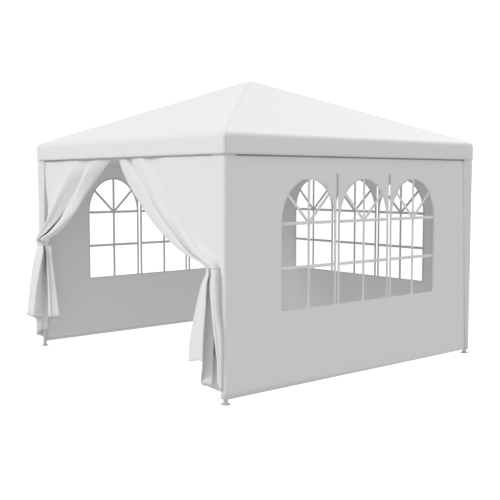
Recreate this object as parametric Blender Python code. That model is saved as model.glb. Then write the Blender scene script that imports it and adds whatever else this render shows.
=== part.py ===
"""Marquee tent, three metres square: a slot-together tube frame under a four-panel pitched roof
cover with a straight valance, three walls with arched clear windows, and a door side with two
curtains tied back to the front legs.

The frame is metres, +Z up, with the origin on the ground under the peak. The door side faces -Y.
Each leg, rail, rafter, sleeve, wall and roof panel is modelled once, for the front side or for the
front right corner, and turned about Z by quarter turns to its own place."""

import math

import bmesh
import bpy
from mathutils import Matrix, Vector

# Overall sizes
HALF_SIDE = 1.5
VALANCE_BOTTOM = 1.858
EAVE_HEIGHT = 2.0203
PEAK_HEIGHT = 2.6273
EAVE_ROUND = 0.03
PEAK_ROUND = 0.076
COVER_THICK = 0.003

# Clearance between pieces that touch
GAP = 0.0003

# Walls and the sleeves that wrap the legs
WALL_OUT = 1.4938
WALL_THICK = 0.002
WALL_FOOT = 0.044
SLEEVE_EDGE_TOP = 1.365
SLEEVE_EDGE_FOOT = 1.465
SLEEVE_TOP = 1.975
WALL_EDGE_GAP = 0.0005

# Windows, the same on three walls
SILL = 0.648
MIDDLE_BAR = 0.981
ARCH_FOOT = 1.33
ARCH_TOP = 1.678
PANE_HALF = 0.2895
PANE_PITCH = 0.643
BAR_WIDTH = 0.018
SLIT_CENTRE = 0.322
SLIT_HALF = 0.0105
SLIT_TOP = 1.717
FILM_THICK = 0.0015
FILM_BORDER = 0.02
ARC_STEPS = 4

# Tubes
TUBE_RADIUS = 0.018
RAFTER_RADIUS = 0.014
TUBE_WALL = 0.0025
SPIGOT_LENGTH = 0.04
SIDES = 16
LEG_JOINT = 1.0
CONNECTOR_ARM = 0.06
RAFTER_ARM = 0.10

# Feet
FOOT_RADIUS = 0.0385
FOOT_PLATE = 0.004
FOOT_BOSS_RADIUS = 0.024
FOOT_HEIGHT = 0.012
FOOT_SIDES = 24

# Crown hub under the peak
HUB_RADIUS = 0.06
HUB_DEPTH = 0.06
HUB_ARM_START = 0.055
HUB_ARM = 0.14

# Tie bands round the gathered curtains
TIE_HEIGHT = 0.022
TIE_THICK = 0.002

# Curtain stations from the rail down to the hem:
# height, outer x, inner x, middle y, half thickness, fold depth
LEFT_CURTAIN = (
    (2.0085, -1.355, -0.080, -1.4928, 0.0010, 0.0),
    (1.850, -1.355, -0.095, -1.4928, 0.0010, 0.0),
    (1.66, -1.335, -0.365, -1.496, 0.006, 0.006),
    (1.49, -1.315, -0.640, -1.503, 0.010, 0.010),
    (1.36, -1.310, -0.900, -1.508, 0.014, 0.010),
    (1.25, -1.350, -1.060, -1.513, 0.016, 0.008),
    (1.15, -1.430, -1.250, -1.520, 0.018, 0.004),
    (1.045, -1.525, -1.405, -1.520, 0.018, 0.002),
    (1.005, -1.525, -1.405, -1.520, 0.018, 0.002),
    (0.80, -1.530, -1.330, -1.520, 0.018, 0.004),
    (0.55, -1.538, -1.230, -1.520, 0.016, 0.006),
    (0.29, -1.544, -1.130, -1.520, 0.014, 0.008),
)
RIGHT_CURTAIN = (
    (2.0085, 1.355, 0.020, -1.4928, 0.0010, 0.0),
    (1.850, 1.355, 0.025, -1.4928, 0.0010, 0.0),
    (1.68, 1.350, 0.105, -1.496, 0.006, 0.006),
    (1.50, 1.350, 0.300, -1.503, 0.010, 0.010),
    (1.36, 1.355, 0.470, -1.508, 0.014, 0.010),
    (1.27, 1.365, 0.610, -1.512, 0.015, 0.010),
    (1.17, 1.385, 0.790, -1.518, 0.016, 0.008),
    (1.08, 1.410, 1.020, -1.520, 0.018, 0.005),
    (0.995, 1.430, 1.250, -1.520, 0.018, 0.002),
    (0.955, 1.430, 1.250, -1.520, 0.018, 0.002),
    (0.80, 1.430, 1.215, -1.520, 0.018, 0.004),
    (0.58, 1.425, 1.160, -1.520, 0.018, 0.006),
    (0.285, 1.425, 1.095, -1.520, 0.018, 0.006),
    (0.284, 1.425, 1.170, -1.506, 0.006, 0.003),
    (0.095, 1.440, 1.165, -1.506, 0.006, 0.003),
)
LEFT_NECK = (1.025, -1.525, -1.405, -1.520, 0.020)
RIGHT_NECK = (0.975, 1.250, 1.430, -1.520, 0.020)
CURTAIN_FOLDS = 3.5
CURTAIN_STEPS = 14

# Worked out from the sizes above
SLOPE = (PEAK_HEIGHT - EAVE_HEIGHT) / HALF_SIDE
PITCH = math.atan(SLOPE)
WALL_IN = WALL_OUT - WALL_THICK
TUBE_LINE = WALL_IN - GAP - TUBE_RADIUS
RAIL_HEIGHT = 2.007
WALL_TOP = RAIL_HEIGHT + 0.0015
SPIGOT_GAP = TUBE_WALL + GAP

CORNERS = ("front_right", "back_right", "back_left", "front_left")
SIDES_OF_TENT = ("front", "right", "back", "left")


def under_cover(across):
    """Height of the roof cover's underside at this distance from the peak, on the flat slope."""
    return PEAK_HEIGHT - SLOPE * across - COVER_THICK / math.cos(PITCH)


RAFTER_DROP = (RAFTER_RADIUS + GAP) / math.cos(PITCH)


def rafter_point(across):
    """A point on the front right rafter's axis, this far from the peak along X and along Y."""
    return Vector((across, -across, under_cover(across) - RAFTER_DROP))


def clear_scene():
    for old in list(bpy.data.objects):
        bpy.data.objects.remove(old, do_unlink=True)


def material(name, colour, roughness, metallic=0.0, alpha=1.0):
    made = bpy.data.materials.new(name)
    made.use_nodes = True
    shader = made.node_tree.nodes["Principled BSDF"]
    shader.inputs["Base Color"].default_value = (*colour, 1.0)
    shader.inputs["Roughness"].default_value = roughness
    shader.inputs["Metallic"].default_value = metallic
    shader.inputs["Alpha"].default_value = alpha
    made.diffuse_color = (*colour, alpha)
    return made


def finish_mesh(shape, name):
    """Closes the books on a bmesh: one skin, faces outwards, soft shading with sharp edges kept."""
    bmesh.ops.remove_doubles(shape, verts=shape.verts, dist=1e-6)
    bmesh.ops.recalc_face_normals(shape, faces=shape.faces)
    mesh = bpy.data.meshes.new(name)
    shape.to_mesh(mesh)
    shape.free()
    mesh.shade_smooth()
    mesh.set_sharp_from_angle(angle=math.radians(35))
    return mesh


def add_piece(name, mesh, finish, quarter_turns=0):
    piece = bpy.data.objects.new(name, mesh)
    bpy.context.scene.collection.objects.link(piece)
    piece.rotation_euler = (0.0, 0.0, math.radians(90.0 * quarter_turns))
    if not mesh.materials:
        mesh.materials.append(finish)
    return piece


def turned(profile, sides=SIDES):
    """A round solid about Z. The profile runs from the axis, outwards, and back to the axis."""
    shape = bmesh.new()
    points = [shape.verts.new((radius, 0.0, height)) for radius, height in profile]
    edges = [shape.edges.new(pair) for pair in zip(points, points[1:])]
    bmesh.ops.spin(
        shape,
        geom=points + edges,
        cent=(0, 0, 0),
        axis=(0, 0, 1),
        angle=math.tau,
        steps=sides,
        use_merge=True,
    )
    bmesh.ops.remove_doubles(shape, verts=shape.verts, dist=1e-6)
    bmesh.ops.recalc_face_normals(shape, faces=shape.faces)
    return shape


def laid_along(shape, start, end):
    """Moves a round solid that stands on the origin so that it runs from start towards end."""
    direction = (end - start).normalized()
    turn = Vector((0, 0, 1)).rotation_difference(direction).to_matrix().to_4x4()
    bmesh.ops.transform(shape, matrix=Matrix.Translation(start) @ turn, verts=shape.verts)
    return shape


def tube_profile(radius, length, socket_at_start=False, socket_at_end=False, spigot=False):
    """Half section of a tube, with a blind socket at either end or a swaged spigot at its end."""
    bore = radius - TUBE_WALL
    depth = SPIGOT_LENGTH + GAP
    points = []
    if socket_at_start:
        points += [(0.0, depth), (bore, depth), (bore, 0.0)]
    else:
        points += [(0.0, 0.0)]
    points += [(radius, 0.0), (radius, length)]
    if socket_at_end:
        points += [(bore, length), (bore, length - depth), (0.0, length - depth)]
    elif spigot:
        thin = radius - SPIGOT_GAP
        points += [(thin, length), (thin, length + SPIGOT_LENGTH), (0.0, length + SPIGOT_LENGTH)]
    else:
        points += [(0.0, length)]
    return points


def tube(start, end, radius, **ends):
    length = (end - start).length
    return laid_along(turned(tube_profile(radius, length, **ends)), start, end)


def joined(name, shapes):
    """One skin round several overlapping solids."""
    bodies = []
    for index, shape in enumerate(shapes):
        mesh = finish_mesh(shape, f"{name}_{index}")
        body = bpy.data.objects.new(f"{name}_{index}", mesh)
        bpy.context.scene.collection.objects.link(body)
        bodies.append(body)
    whole = bodies[0]
    for other in bodies[1:]:
        union = whole.modifiers.new(other.name, "BOOLEAN")
        union.operation = "UNION"
        union.solver = "EXACT"
        union.object = other
    bpy.context.view_layer.update()
    graph = bpy.context.evaluated_depsgraph_get()
    mesh = bpy.data.meshes.new_from_object(whole.evaluated_get(graph))
    mesh.name = name
    for body in bodies:
        bpy.data.objects.remove(body, do_unlink=True)
    mesh.shade_smooth()
    mesh.set_sharp_from_angle(angle=math.radians(35))
    return mesh


def ring_edges(shape, points):
    ring = [shape.verts.new(point) for point in points]
    return [shape.edges.new((ring[i - 1], ring[i])) for i in range(len(ring))]


def lofted(rings):
    """A closed solid through rings of equal point count, capped at both ends."""
    shape = bmesh.new()
    loops = [ring_edges(shape, ring) for ring in rings]
    for low, high in zip(loops, loops[1:]):
        bmesh.ops.bridge_loops(shape, edges=low + high)
    for loop in (loops[0], loops[-1]):
        bmesh.ops.contextual_create(shape, geom=loop)
    bmesh.ops.recalc_face_normals(shape, faces=shape.faces)
    return shape


def slab(outline, near, far):
    """A flat upright sheet: an outline in X and Z, thickened from y = -near to y = -far."""
    shape = bmesh.new()
    face = shape.faces.new([shape.verts.new((x, -near, z)) for x, z in outline])
    grown = bmesh.ops.extrude_face_region(shape, geom=[face])
    moved = [item for item in grown["geom"] if isinstance(item, bmesh.types.BMVert)]
    bmesh.ops.translate(shape, vec=(0, near - far, 0), verts=moved)
    bmesh.ops.recalc_face_normals(shape, faces=shape.faces)
    return shape


def sleeve_edge(height):
    """Where a leg sleeve ends and the wall begins: the line slants out towards the foot."""
    share = min((height - WALL_FOOT) / (VALANCE_BOTTOM - WALL_FOOT), 1.0)
    return SLEEVE_EDGE_FOOT + (SLEEVE_EDGE_TOP - SLEEVE_EDGE_FOOT) * share


def make_feet(finish):
    profile = [
        (0.0, 0.0),
        (FOOT_RADIUS - 0.001, 0.0),
        (FOOT_RADIUS, 0.001),
        (FOOT_RADIUS, FOOT_PLATE - 0.001),
        (FOOT_BOSS_RADIUS, FOOT_PLATE + 0.001),
        (TUBE_RADIUS + 0.001, FOOT_HEIGHT),
        (0.0, FOOT_HEIGHT),
    ]
    shape = turned(profile, FOOT_SIDES)
    bmesh.ops.translate(shape, vec=(TUBE_LINE, -TUBE_LINE, 0), verts=shape.verts)
    mesh = finish_mesh(shape, "foot")
    for turns, corner in enumerate(CORNERS):
        add_piece(f"foot_{corner}", mesh, finish, turns)


def make_legs(finish):
    low = Vector((TUBE_LINE, -TUBE_LINE, FOOT_HEIGHT + GAP))
    joint = Vector((TUBE_LINE, -TUBE_LINE, LEG_JOINT))
    above = Vector((TUBE_LINE, -TUBE_LINE, LEG_JOINT + GAP))
    top = Vector((TUBE_LINE, -TUBE_LINE, RAIL_HEIGHT - CONNECTOR_ARM - GAP))
    lower = finish_mesh(tube(low, joint, TUBE_RADIUS, spigot=True), "lower_leg")
    upper = finish_mesh(
        tube(above, top, TUBE_RADIUS, socket_at_start=True, socket_at_end=True), "upper_leg"
    )
    for turns, corner in enumerate(CORNERS):
        add_piece(f"lower_leg_{corner}", lower, finish, turns)
        add_piece(f"upper_leg_{corner}", upper, finish, turns)


def make_connectors(finish):
    """Four arms from one knuckle: down to the leg, along both eaves, and up the hip."""
    knuckle = Vector((TUBE_LINE, -TUBE_LINE, RAIL_HEIGHT))
    hip = rafter_point(TUBE_LINE)
    along_hip = (rafter_point(0.0) - hip).normalized()
    arms = [
        tube(knuckle, knuckle + Vector((0, 0, -CONNECTOR_ARM)), TUBE_RADIUS, spigot=True),
        tube(knuckle, knuckle + Vector((-CONNECTOR_ARM, 0, 0)), TUBE_RADIUS, spigot=True),
        tube(knuckle, knuckle + Vector((0, CONNECTOR_ARM, 0)), TUBE_RADIUS, spigot=True),
        tube(hip, hip + along_hip * RAFTER_ARM, RAFTER_RADIUS, spigot=True),
    ]
    mesh = joined("corner_connector", arms)
    for turns, corner in enumerate(CORNERS):
        add_piece(f"corner_connector_{corner}", mesh, finish, turns)


def make_rails(finish):
    reach = TUBE_LINE - CONNECTOR_ARM - GAP
    start = Vector((-reach, -TUBE_LINE, RAIL_HEIGHT))
    end = Vector((reach, -TUBE_LINE, RAIL_HEIGHT))
    mesh = finish_mesh(
        tube(start, end, TUBE_RADIUS, socket_at_start=True, socket_at_end=True), "eave_rail"
    )
    for turns, side in enumerate(SIDES_OF_TENT):
        add_piece(f"eave_rail_{side}", mesh, finish, turns)


def make_rafters(finish):
    foot = rafter_point(TUBE_LINE)
    peak = rafter_point(0.0)
    along = (peak - foot).normalized()
    start = foot + along * (RAFTER_ARM + GAP)
    end = peak - along * (HUB_ARM + GAP)
    mesh = finish_mesh(
        tube(start, end, RAFTER_RADIUS, socket_at_start=True, socket_at_end=True), "rafter"
    )
    for turns, corner in enumerate(CORNERS):
        add_piece(f"rafter_{corner}", mesh, finish, turns)


def make_hub(finish):
    rim = under_cover(HUB_RADIUS) - GAP
    shoulder = PEAK_ROUND * math.sin(PITCH)
    profile = [
        (0.0, rim - HUB_DEPTH),
        (HUB_RADIUS * 0.6, rim - HUB_DEPTH),
        (HUB_RADIUS, rim - HUB_DEPTH * 0.6),
        (HUB_RADIUS, rim),
        (shoulder, under_cover(shoulder) - GAP),
        (0.0, under_cover(shoulder) + GAP),
    ]
    shapes = [turned(profile, FOOT_SIDES)]
    peak = rafter_point(0.0)
    along = (rafter_point(1.0) - peak).normalized()
    for turns in range(4):
        start = peak + along * HUB_ARM_START
        arm = tube(start, peak + along * HUB_ARM, RAFTER_RADIUS, spigot=True)
        quarter = Matrix.Rotation(math.radians(90.0 * turns), 4, "Z")
        bmesh.ops.transform(arm, matrix=quarter, verts=arm.verts)
        shapes.append(arm)
    add_piece("crown_hub", joined("crown_hub", shapes), finish)


def cover_section(inset):
    """The cover's section from valance hem to peak, as (distance from peak, height) points."""
    centre_across = HALF_SIDE - EAVE_ROUND
    centre_height = PEAK_HEIGHT - SLOPE * centre_across - EAVE_ROUND / math.cos(PITCH)
    radius = EAVE_ROUND - inset
    points = [(HALF_SIDE - inset, VALANCE_BOTTOM)]
    turn = math.pi / 2 - PITCH
    for step in range(4):
        angle = turn * step / 3
        across = centre_across + radius * math.cos(angle)
        points.append((across, centre_height + radius * math.sin(angle)))
    dome = PEAK_ROUND - inset
    dome_centre = PEAK_HEIGHT - PEAK_ROUND / math.cos(PITCH)
    for share in (1.0, 0.5):
        angle = PITCH * share
        points.append((dome * math.sin(angle), dome_centre + dome * math.cos(angle)))
    points.append((0.0, dome_centre + dome))
    return points


def make_roof(finish):
    """Four mitred panels that meet on the hips, each with its stretch of valance."""
    mitre = GAP
    outer = cover_section(0.0)
    inner = cover_section(COVER_THICK)
    section = outer + inner[::-1]
    rings = []
    for end in (-1.0, 1.0):
        ring = []
        for across, height in section:
            depth = max(across, mitre)
            ring.append((end * (depth - mitre), -depth, height))
        rings.append(ring)
    shape = lofted(rings)
    mesh = finish_mesh(shape, "roof_panel")
    for turns, side in enumerate(SIDES_OF_TENT):
        add_piece(f"roof_panel_{side}", mesh, finish, turns)


def sleeve_ring(height):
    """Plan of a leg sleeve: two flanks and a round corner that follows the leg."""
    edge = sleeve_edge(height)
    radius = TUBE_RADIUS + GAP
    points = []
    for inset in (0.0, WALL_THICK):
        face = WALL_OUT - inset
        corner = radius + WALL_THICK - inset
        path = [(edge, -face)]
        for step in range(7):
            angle = math.radians(-90.0 + 15.0 * step)
            x = TUBE_LINE + corner * math.cos(angle)
            y = -TUBE_LINE + corner * math.sin(angle)
            path.append((x, y))
        path.append((face, -edge))
        points += path if inset == 0.0 else path[::-1]
    return [(x, y, height) for x, y in points]


def make_sleeves(finish):
    heights = (WALL_FOOT, VALANCE_BOTTOM, SLEEVE_TOP)
    mesh = finish_mesh(lofted([sleeve_ring(height) for height in heights]), "leg_sleeve")
    for turns, corner in enumerate(CORNERS):
        add_piece(f"leg_sleeve_{corner}", mesh, finish, turns)


def arch_point(direction, side):
    """Where one edge of an arch bar meets the arch. The arch is half an ellipse, and the bar is
    centred on a ray from the ellipse's middle; side is +1 for the bar's upper edge, -1 for its
    lower one."""
    rise = ARCH_TOP - ARCH_FOOT
    along = Vector((math.cos(direction), math.sin(direction)))
    offset = Vector((-along.y, along.x)) * side * BAR_WIDTH / 2
    square = (along.x / PANE_HALF) ** 2 + (along.y / rise) ** 2
    cross = 2 * (along.x * offset.x / PANE_HALF**2 + along.y * offset.y / rise**2)
    rest = (offset.x / PANE_HALF) ** 2 + (offset.y / rise) ** 2 - 1
    reach = (-cross + math.sqrt(cross**2 - 4 * square * rest)) / (2 * square)
    return offset + along * reach


def arch_cells(middle):
    """The four openings of an arched head, between bars fanned out at 45 degrees."""
    rise = ARCH_TOP - ARCH_FOOT
    fan = math.radians(45.0)
    cells = []
    for number in range(4):
        low = fan * number
        high = low + fan
        inner = (BAR_WIDTH / 2) / math.sin(fan / 2)
        bisector = (low + high) / 2
        cell = [Vector((math.cos(bisector), math.sin(bisector))) * inner]
        first = arch_point(low, 1)
        last = arch_point(high, -1)
        start = math.atan2(first.y / rise, first.x / PANE_HALF)
        end = math.atan2(last.y / rise, last.x / PANE_HALF)
        for step in range(ARC_STEPS + 1):
            turn = start + (end - start) * step / ARC_STEPS
            cell.append(Vector((PANE_HALF * math.cos(turn), rise * math.sin(turn))))
        cells.append([(middle + point.x, ARCH_FOOT + point.y) for point in cell])
    return cells


def rectangle(left, right, low, high):
    return [(left, low), (right, low), (right, high), (left, high)]


def pane_cells(middle):
    """The eight openings of one window: four square ones below, four fanned ones above."""
    half = BAR_WIDTH / 2
    rows = ((SILL, MIDDLE_BAR - half), (MIDDLE_BAR + half, ARCH_FOOT - half))
    columns = ((middle - PANE_HALF, middle - half), (middle + half, middle + PANE_HALF))
    cells = [rectangle(*column, *row) for row in rows for column in columns]
    return cells + arch_cells(middle)


def pierced_sheet(name, outline, holes, near, far):
    """A flat upright sheet with holes, made as a filled and thickened flat curve."""
    curve = bpy.data.curves.new(name, "CURVE")
    curve.dimensions = "2D"
    curve.fill_mode = "BOTH"
    curve.extrude = (near - far) / 2
    for loop in [outline, *holes]:
        line = curve.splines.new("POLY")
        line.points.add(len(loop) - 1)
        for point, (x, z) in zip(line.points, loop):
            point.co = (x, z, 0.0, 1.0)
        line.use_cyclic_u = True
    guide = bpy.data.objects.new(name, curve)
    bpy.context.scene.collection.objects.link(guide)
    bpy.context.view_layer.update()
    graph = bpy.context.evaluated_depsgraph_get()
    flat = bpy.data.meshes.new_from_object(guide.evaluated_get(graph))
    bpy.data.objects.remove(guide, do_unlink=True)
    shape = bmesh.new()
    shape.from_mesh(flat)
    upright = Matrix.Rotation(math.radians(90.0), 4, "X")
    place = Matrix.Translation((0, -(near + far) / 2, 0)) @ upright
    bmesh.ops.transform(shape, matrix=place, verts=shape.verts)
    return finish_mesh(shape, name)


def make_walls(cloth, clear):
    low = sleeve_edge(WALL_FOOT) - WALL_EDGE_GAP
    high = sleeve_edge(VALANCE_BOTTOM) - WALL_EDGE_GAP
    outline = [
        (-low, WALL_FOOT),
        (low, WALL_FOOT),
        (high, VALANCE_BOTTOM),
        (high, WALL_TOP),
        (-high, WALL_TOP),
        (-high, VALANCE_BOTTOM),
    ]
    holes = []
    for middle in (-PANE_PITCH, 0.0, PANE_PITCH):
        holes += pane_cells(middle)
    for middle in (-SLIT_CENTRE, SLIT_CENTRE):
        holes.append(rectangle(middle - SLIT_HALF, middle + SLIT_HALF, SILL, SLIT_TOP))
    wall = pierced_sheet("window_wall", outline, holes, WALL_OUT, WALL_IN)
    film_near = WALL_IN - GAP
    across = PANE_PITCH + PANE_HALF + FILM_BORDER
    film_outline = rectangle(-across, across, SILL - FILM_BORDER, SLIT_TOP + FILM_BORDER)
    film = finish_mesh(slab(film_outline, film_near, film_near - FILM_THICK), "window_film")
    for turns, side in enumerate(SIDES_OF_TENT):
        if side != "front":
            add_piece(f"window_wall_{side}", wall, cloth, turns)
            add_piece(f"window_film_{side}", film, clear, turns)


def curtain_ring(station):
    """Plan of a curtain at one height: a folded strip of even thickness."""
    height, outer, inner, middle, half, depth = station
    front = []
    back = []
    for step in range(CURTAIN_STEPS + 1):
        share = step / CURTAIN_STEPS
        x = outer + (inner - outer) * share
        wave = depth * math.sin(math.tau * CURTAIN_FOLDS * share)
        front.append((x, middle - half + min(wave, 0.0), height))
        back.append((x, middle + half, height))
    return front + back[::-1]


def make_curtains(finish):
    for name, stations in (("curtain_left", LEFT_CURTAIN), ("curtain_right", RIGHT_CURTAIN)):
        shape = lofted([curtain_ring(station) for station in stations])
        add_piece(name, finish_mesh(shape, name), finish)


def make_ties(finish):
    """A flat band round each curtain's neck."""
    for name, neck in (("tie_left", LEFT_NECK), ("tie_right", RIGHT_NECK)):
        height, low_x, high_x, middle, half = neck
        shape = bmesh.new()
        loops = []
        for extra in (GAP, GAP + TIE_THICK):
            near = middle - half - extra
            far = middle + half + extra
            left = low_x - extra
            right = high_x + extra
            plan = ((left, near), (right, near), (right, far), (left, far))
            base = height - TIE_HEIGHT / 2
            loops.append(ring_edges(shape, [(x, y, base) for x, y in plan]))
        band = bmesh.ops.bridge_loops(shape, edges=loops[0] + loops[1])
        grown = bmesh.ops.extrude_face_region(shape, geom=band["faces"])
        moved = [item for item in grown["geom"] if isinstance(item, bmesh.types.BMVert)]
        bmesh.ops.translate(shape, vec=(0, 0, TIE_HEIGHT), verts=moved)
        add_piece(name, finish_mesh(shape, name), finish)


def main():
    clear_scene()
    steel = material("coated_steel", (0.80, 0.81, 0.82), 0.4)
    plate = material("foot_steel", (0.62, 0.63, 0.64), 0.35, 0.9)
    cover = material("cover_cloth", (0.86, 0.86, 0.86), 0.6)
    walling = material("wall_cloth", (0.84, 0.84, 0.84), 0.6)
    clear = material("window_film", (0.95, 0.97, 0.98), 0.08, 0.0, 0.2)
    make_feet(plate)
    make_legs(steel)
    make_connectors(steel)
    make_rails(steel)
    make_rafters(steel)
    make_hub(steel)
    make_roof(cover)
    make_sleeves(walling)
    make_walls(walling, clear)
    make_curtains(walling)
    make_ties(walling)


main()
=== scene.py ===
# %% [markdown]
# # A marquee tent, dressed over its measured frame
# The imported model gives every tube, connector and foot in metres, with the ground at height 0, the roof's
# peak over the origin and the doorway towards -Y. This script keeps those pieces, gives them real
# finishes, and puts cloth with folds, hems and stitches in place of the plain cloth solids.

import math

import bmesh
import bpy
import numpy as np
from mathutils import Euler, Matrix, Vector, noise


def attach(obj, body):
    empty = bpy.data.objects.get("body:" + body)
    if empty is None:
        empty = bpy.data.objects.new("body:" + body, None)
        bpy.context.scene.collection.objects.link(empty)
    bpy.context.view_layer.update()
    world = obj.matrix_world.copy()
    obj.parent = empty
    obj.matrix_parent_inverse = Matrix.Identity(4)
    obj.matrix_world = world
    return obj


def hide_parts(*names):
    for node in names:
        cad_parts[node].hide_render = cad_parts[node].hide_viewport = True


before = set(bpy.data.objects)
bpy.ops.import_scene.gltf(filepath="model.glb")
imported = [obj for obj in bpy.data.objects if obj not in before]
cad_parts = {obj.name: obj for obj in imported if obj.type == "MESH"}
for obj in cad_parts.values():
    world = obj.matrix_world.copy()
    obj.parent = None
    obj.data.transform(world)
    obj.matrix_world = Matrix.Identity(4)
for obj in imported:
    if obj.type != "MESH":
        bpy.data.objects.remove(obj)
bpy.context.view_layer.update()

# %% [markdown]
# ## Camera, floor and light
# The photograph was taken from a little over head height, off the tent's front right corner. The camera
# comes first, so that each piece can be judged in the right view as it is made. White cloth on a white
# ground only reads through soft shade, so the light is a bright even sky with two broad lamps: one in
# front of the doorway side, and one high up for the roof.

# %% Camera
IMAGE_SIZE = 500
FOCAL_PIXELS = 843.39
SENSOR = 36.0
camera_data = bpy.data.cameras.new("camera")
camera_data.sensor_width = SENSOR
camera_data.lens = FOCAL_PIXELS * SENSOR / IMAGE_SIZE
camera = bpy.data.objects.new("camera", camera_data)
camera.location = (6.320, -5.301, 1.6695)
camera.rotation_euler = (math.radians(90 - 4.758), 0.0, math.radians(50.015))
bpy.context.scene.collection.objects.link(camera)
bpy.context.scene.camera = camera
print("lens:", round(camera_data.lens, 2), "mm")


# %% Helpers for shader nodes
def new_finish(name):
    """A material with an empty node tree, its Principled shader and its output."""
    finish = bpy.data.materials.new(name)
    finish.use_nodes = True
    tree = finish.node_tree
    return finish, tree, tree.nodes["Principled BSDF"], tree.nodes["Material Output"]


def fill_sockets(tree, node, values):
    """Links or sets a node's sockets, which values gives by name or number."""
    for socket, value in values.items():
        if hasattr(value, "links"):
            tree.links.new(value, node.inputs[socket])
        else:
            node.inputs[socket].default_value = value


def add_node(tree, kind, values=None, **settings):
    """One shader node, with settings on the node and values on its sockets by name or number."""
    node = tree.nodes.new(kind)
    for name, setting in settings.items():
        setattr(node, name, setting)
    fill_sockets(tree, node, values or {})
    return node


def maths(tree, operation, first, second=0.0, third=0.0):
    values = {0: first, 1: second, 2: third}
    return add_node(tree, "ShaderNodeMath", values, operation=operation).outputs[0]


def blend(tree, share, first, second):
    """Two colours mixed: the first where share is 0, the second where it is 1."""
    values = {0: share, 6: first, 7: second}
    return add_node(tree, "ShaderNodeMix", values, data_type="RGBA").outputs[2]


def relief(tree, height, strength, distance, **more):
    """A bump as deep as distance, in metres. more can hold the Normal that it adds to."""
    values = {"Height": height, "Strength": strength, "Distance": distance, **more}
    return add_node(tree, "ShaderNodeBump", values).outputs[0]


def cloudy(tree, place, scale, **more):
    """Smooth noise, finer where scale is larger."""
    values = {"Vector": place, "Scale": scale, **more}
    return add_node(tree, "ShaderNodeTexNoise", values).outputs[0]


def share_between(tree, value, low, high, at_low=0.0, at_high=1.0, **settings):
    """at_low where the value is low, at_high where it is high, and even steps between."""
    values = {0: value, 1: low, 2: high, 3: at_low, 4: at_high}
    return add_node(tree, "ShaderNodeMapRange", values, **settings).outputs[0]


def new_group(name, inputs, outputs):
    """A shader group with its two end nodes. inputs gives the kind of each socket by its name."""
    group = bpy.data.node_groups.new(name, "ShaderNodeTree")
    for socket, kind in inputs.items():
        group.interface.new_socket(socket, in_out="INPUT", socket_type=f"NodeSocket{kind}")
    for socket in outputs:
        group.interface.new_socket(socket, in_out="OUTPUT", socket_type="NodeSocketFloat")
    return group, group.nodes.new("NodeGroupInput"), group.nodes.new("NodeGroupOutput")


def object_place(tree):
    """Where a point is on its piece, in metres."""
    return add_node(tree, "ShaderNodeTexCoord").outputs["Object"]


def cloth_place(tree):
    """Where a point is on the flat cut of the cloth, in metres."""
    return add_node(tree, "ShaderNodeUVMap", uv_map="cloth").outputs[0]


# %% Floor and sky
FLOOR_REACH = 90.0
floor_shape = bmesh.new()
bmesh.ops.create_circle(floor_shape, cap_ends=True, segments=96, radius=FLOOR_REACH)
floor_mesh = bpy.data.meshes.new("floor")
floor_shape.to_mesh(floor_mesh)
floor_shape.free()
floor = bpy.data.objects.new("floor", floor_mesh)
bpy.context.scene.collection.objects.link(floor)

SEEN_WHITE = 1.30
SKY_LIGHT = 0.64
FLOOR_LIGHT = 0.60


def studio_white(tree, light):
    """Plain white where the camera sees it, and softer where it lights the tent."""
    path = add_node(tree, "ShaderNodeLightPath")
    return maths(tree, "MULTIPLY_ADD", path.outputs["Is Camera Ray"], SEEN_WHITE - light, light)


floor_finish, tree, shader, output = new_finish("pale_floor")
glow = add_node(tree, "ShaderNodeEmission", {"Color": (1, 1, 1, 1)})
tree.links.new(studio_white(tree, FLOOR_LIGHT), glow.inputs["Strength"])
tree.links.new(glow.outputs[0], output.inputs["Surface"])
floor_mesh.materials.append(floor_finish)

world = bpy.data.worlds.new("studio")
bpy.context.scene.world = world
world.use_nodes = True
tree = world.node_tree
tree.links.new(studio_white(tree, SKY_LIGHT), tree.nodes["Background"].inputs["Strength"])
tree.nodes["Background"].inputs["Color"].default_value = (1, 1, 1, 1)


# %% Lamps
def broad_lamp(name, towards, strength, spread):
    """A far, wide lamp. towards is the direction that its light travels in."""
    data = bpy.data.lights.new(name, "SUN")
    data.energy = strength
    data.angle = math.radians(spread)
    lamp = bpy.data.objects.new(name, data)
    lamp.rotation_euler = Vector(towards).to_track_quat("-Z", "Y").to_euler()
    bpy.context.scene.collection.objects.link(lamp)


broad_lamp("front_lamp", (0.10, 0.28, -0.20), 1.19, 30)
broad_lamp("back_lamp", (0.0, -0.22, -0.20), 1.08, 40)
bpy.context.scene.view_settings.view_transform = "Standard"
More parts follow.
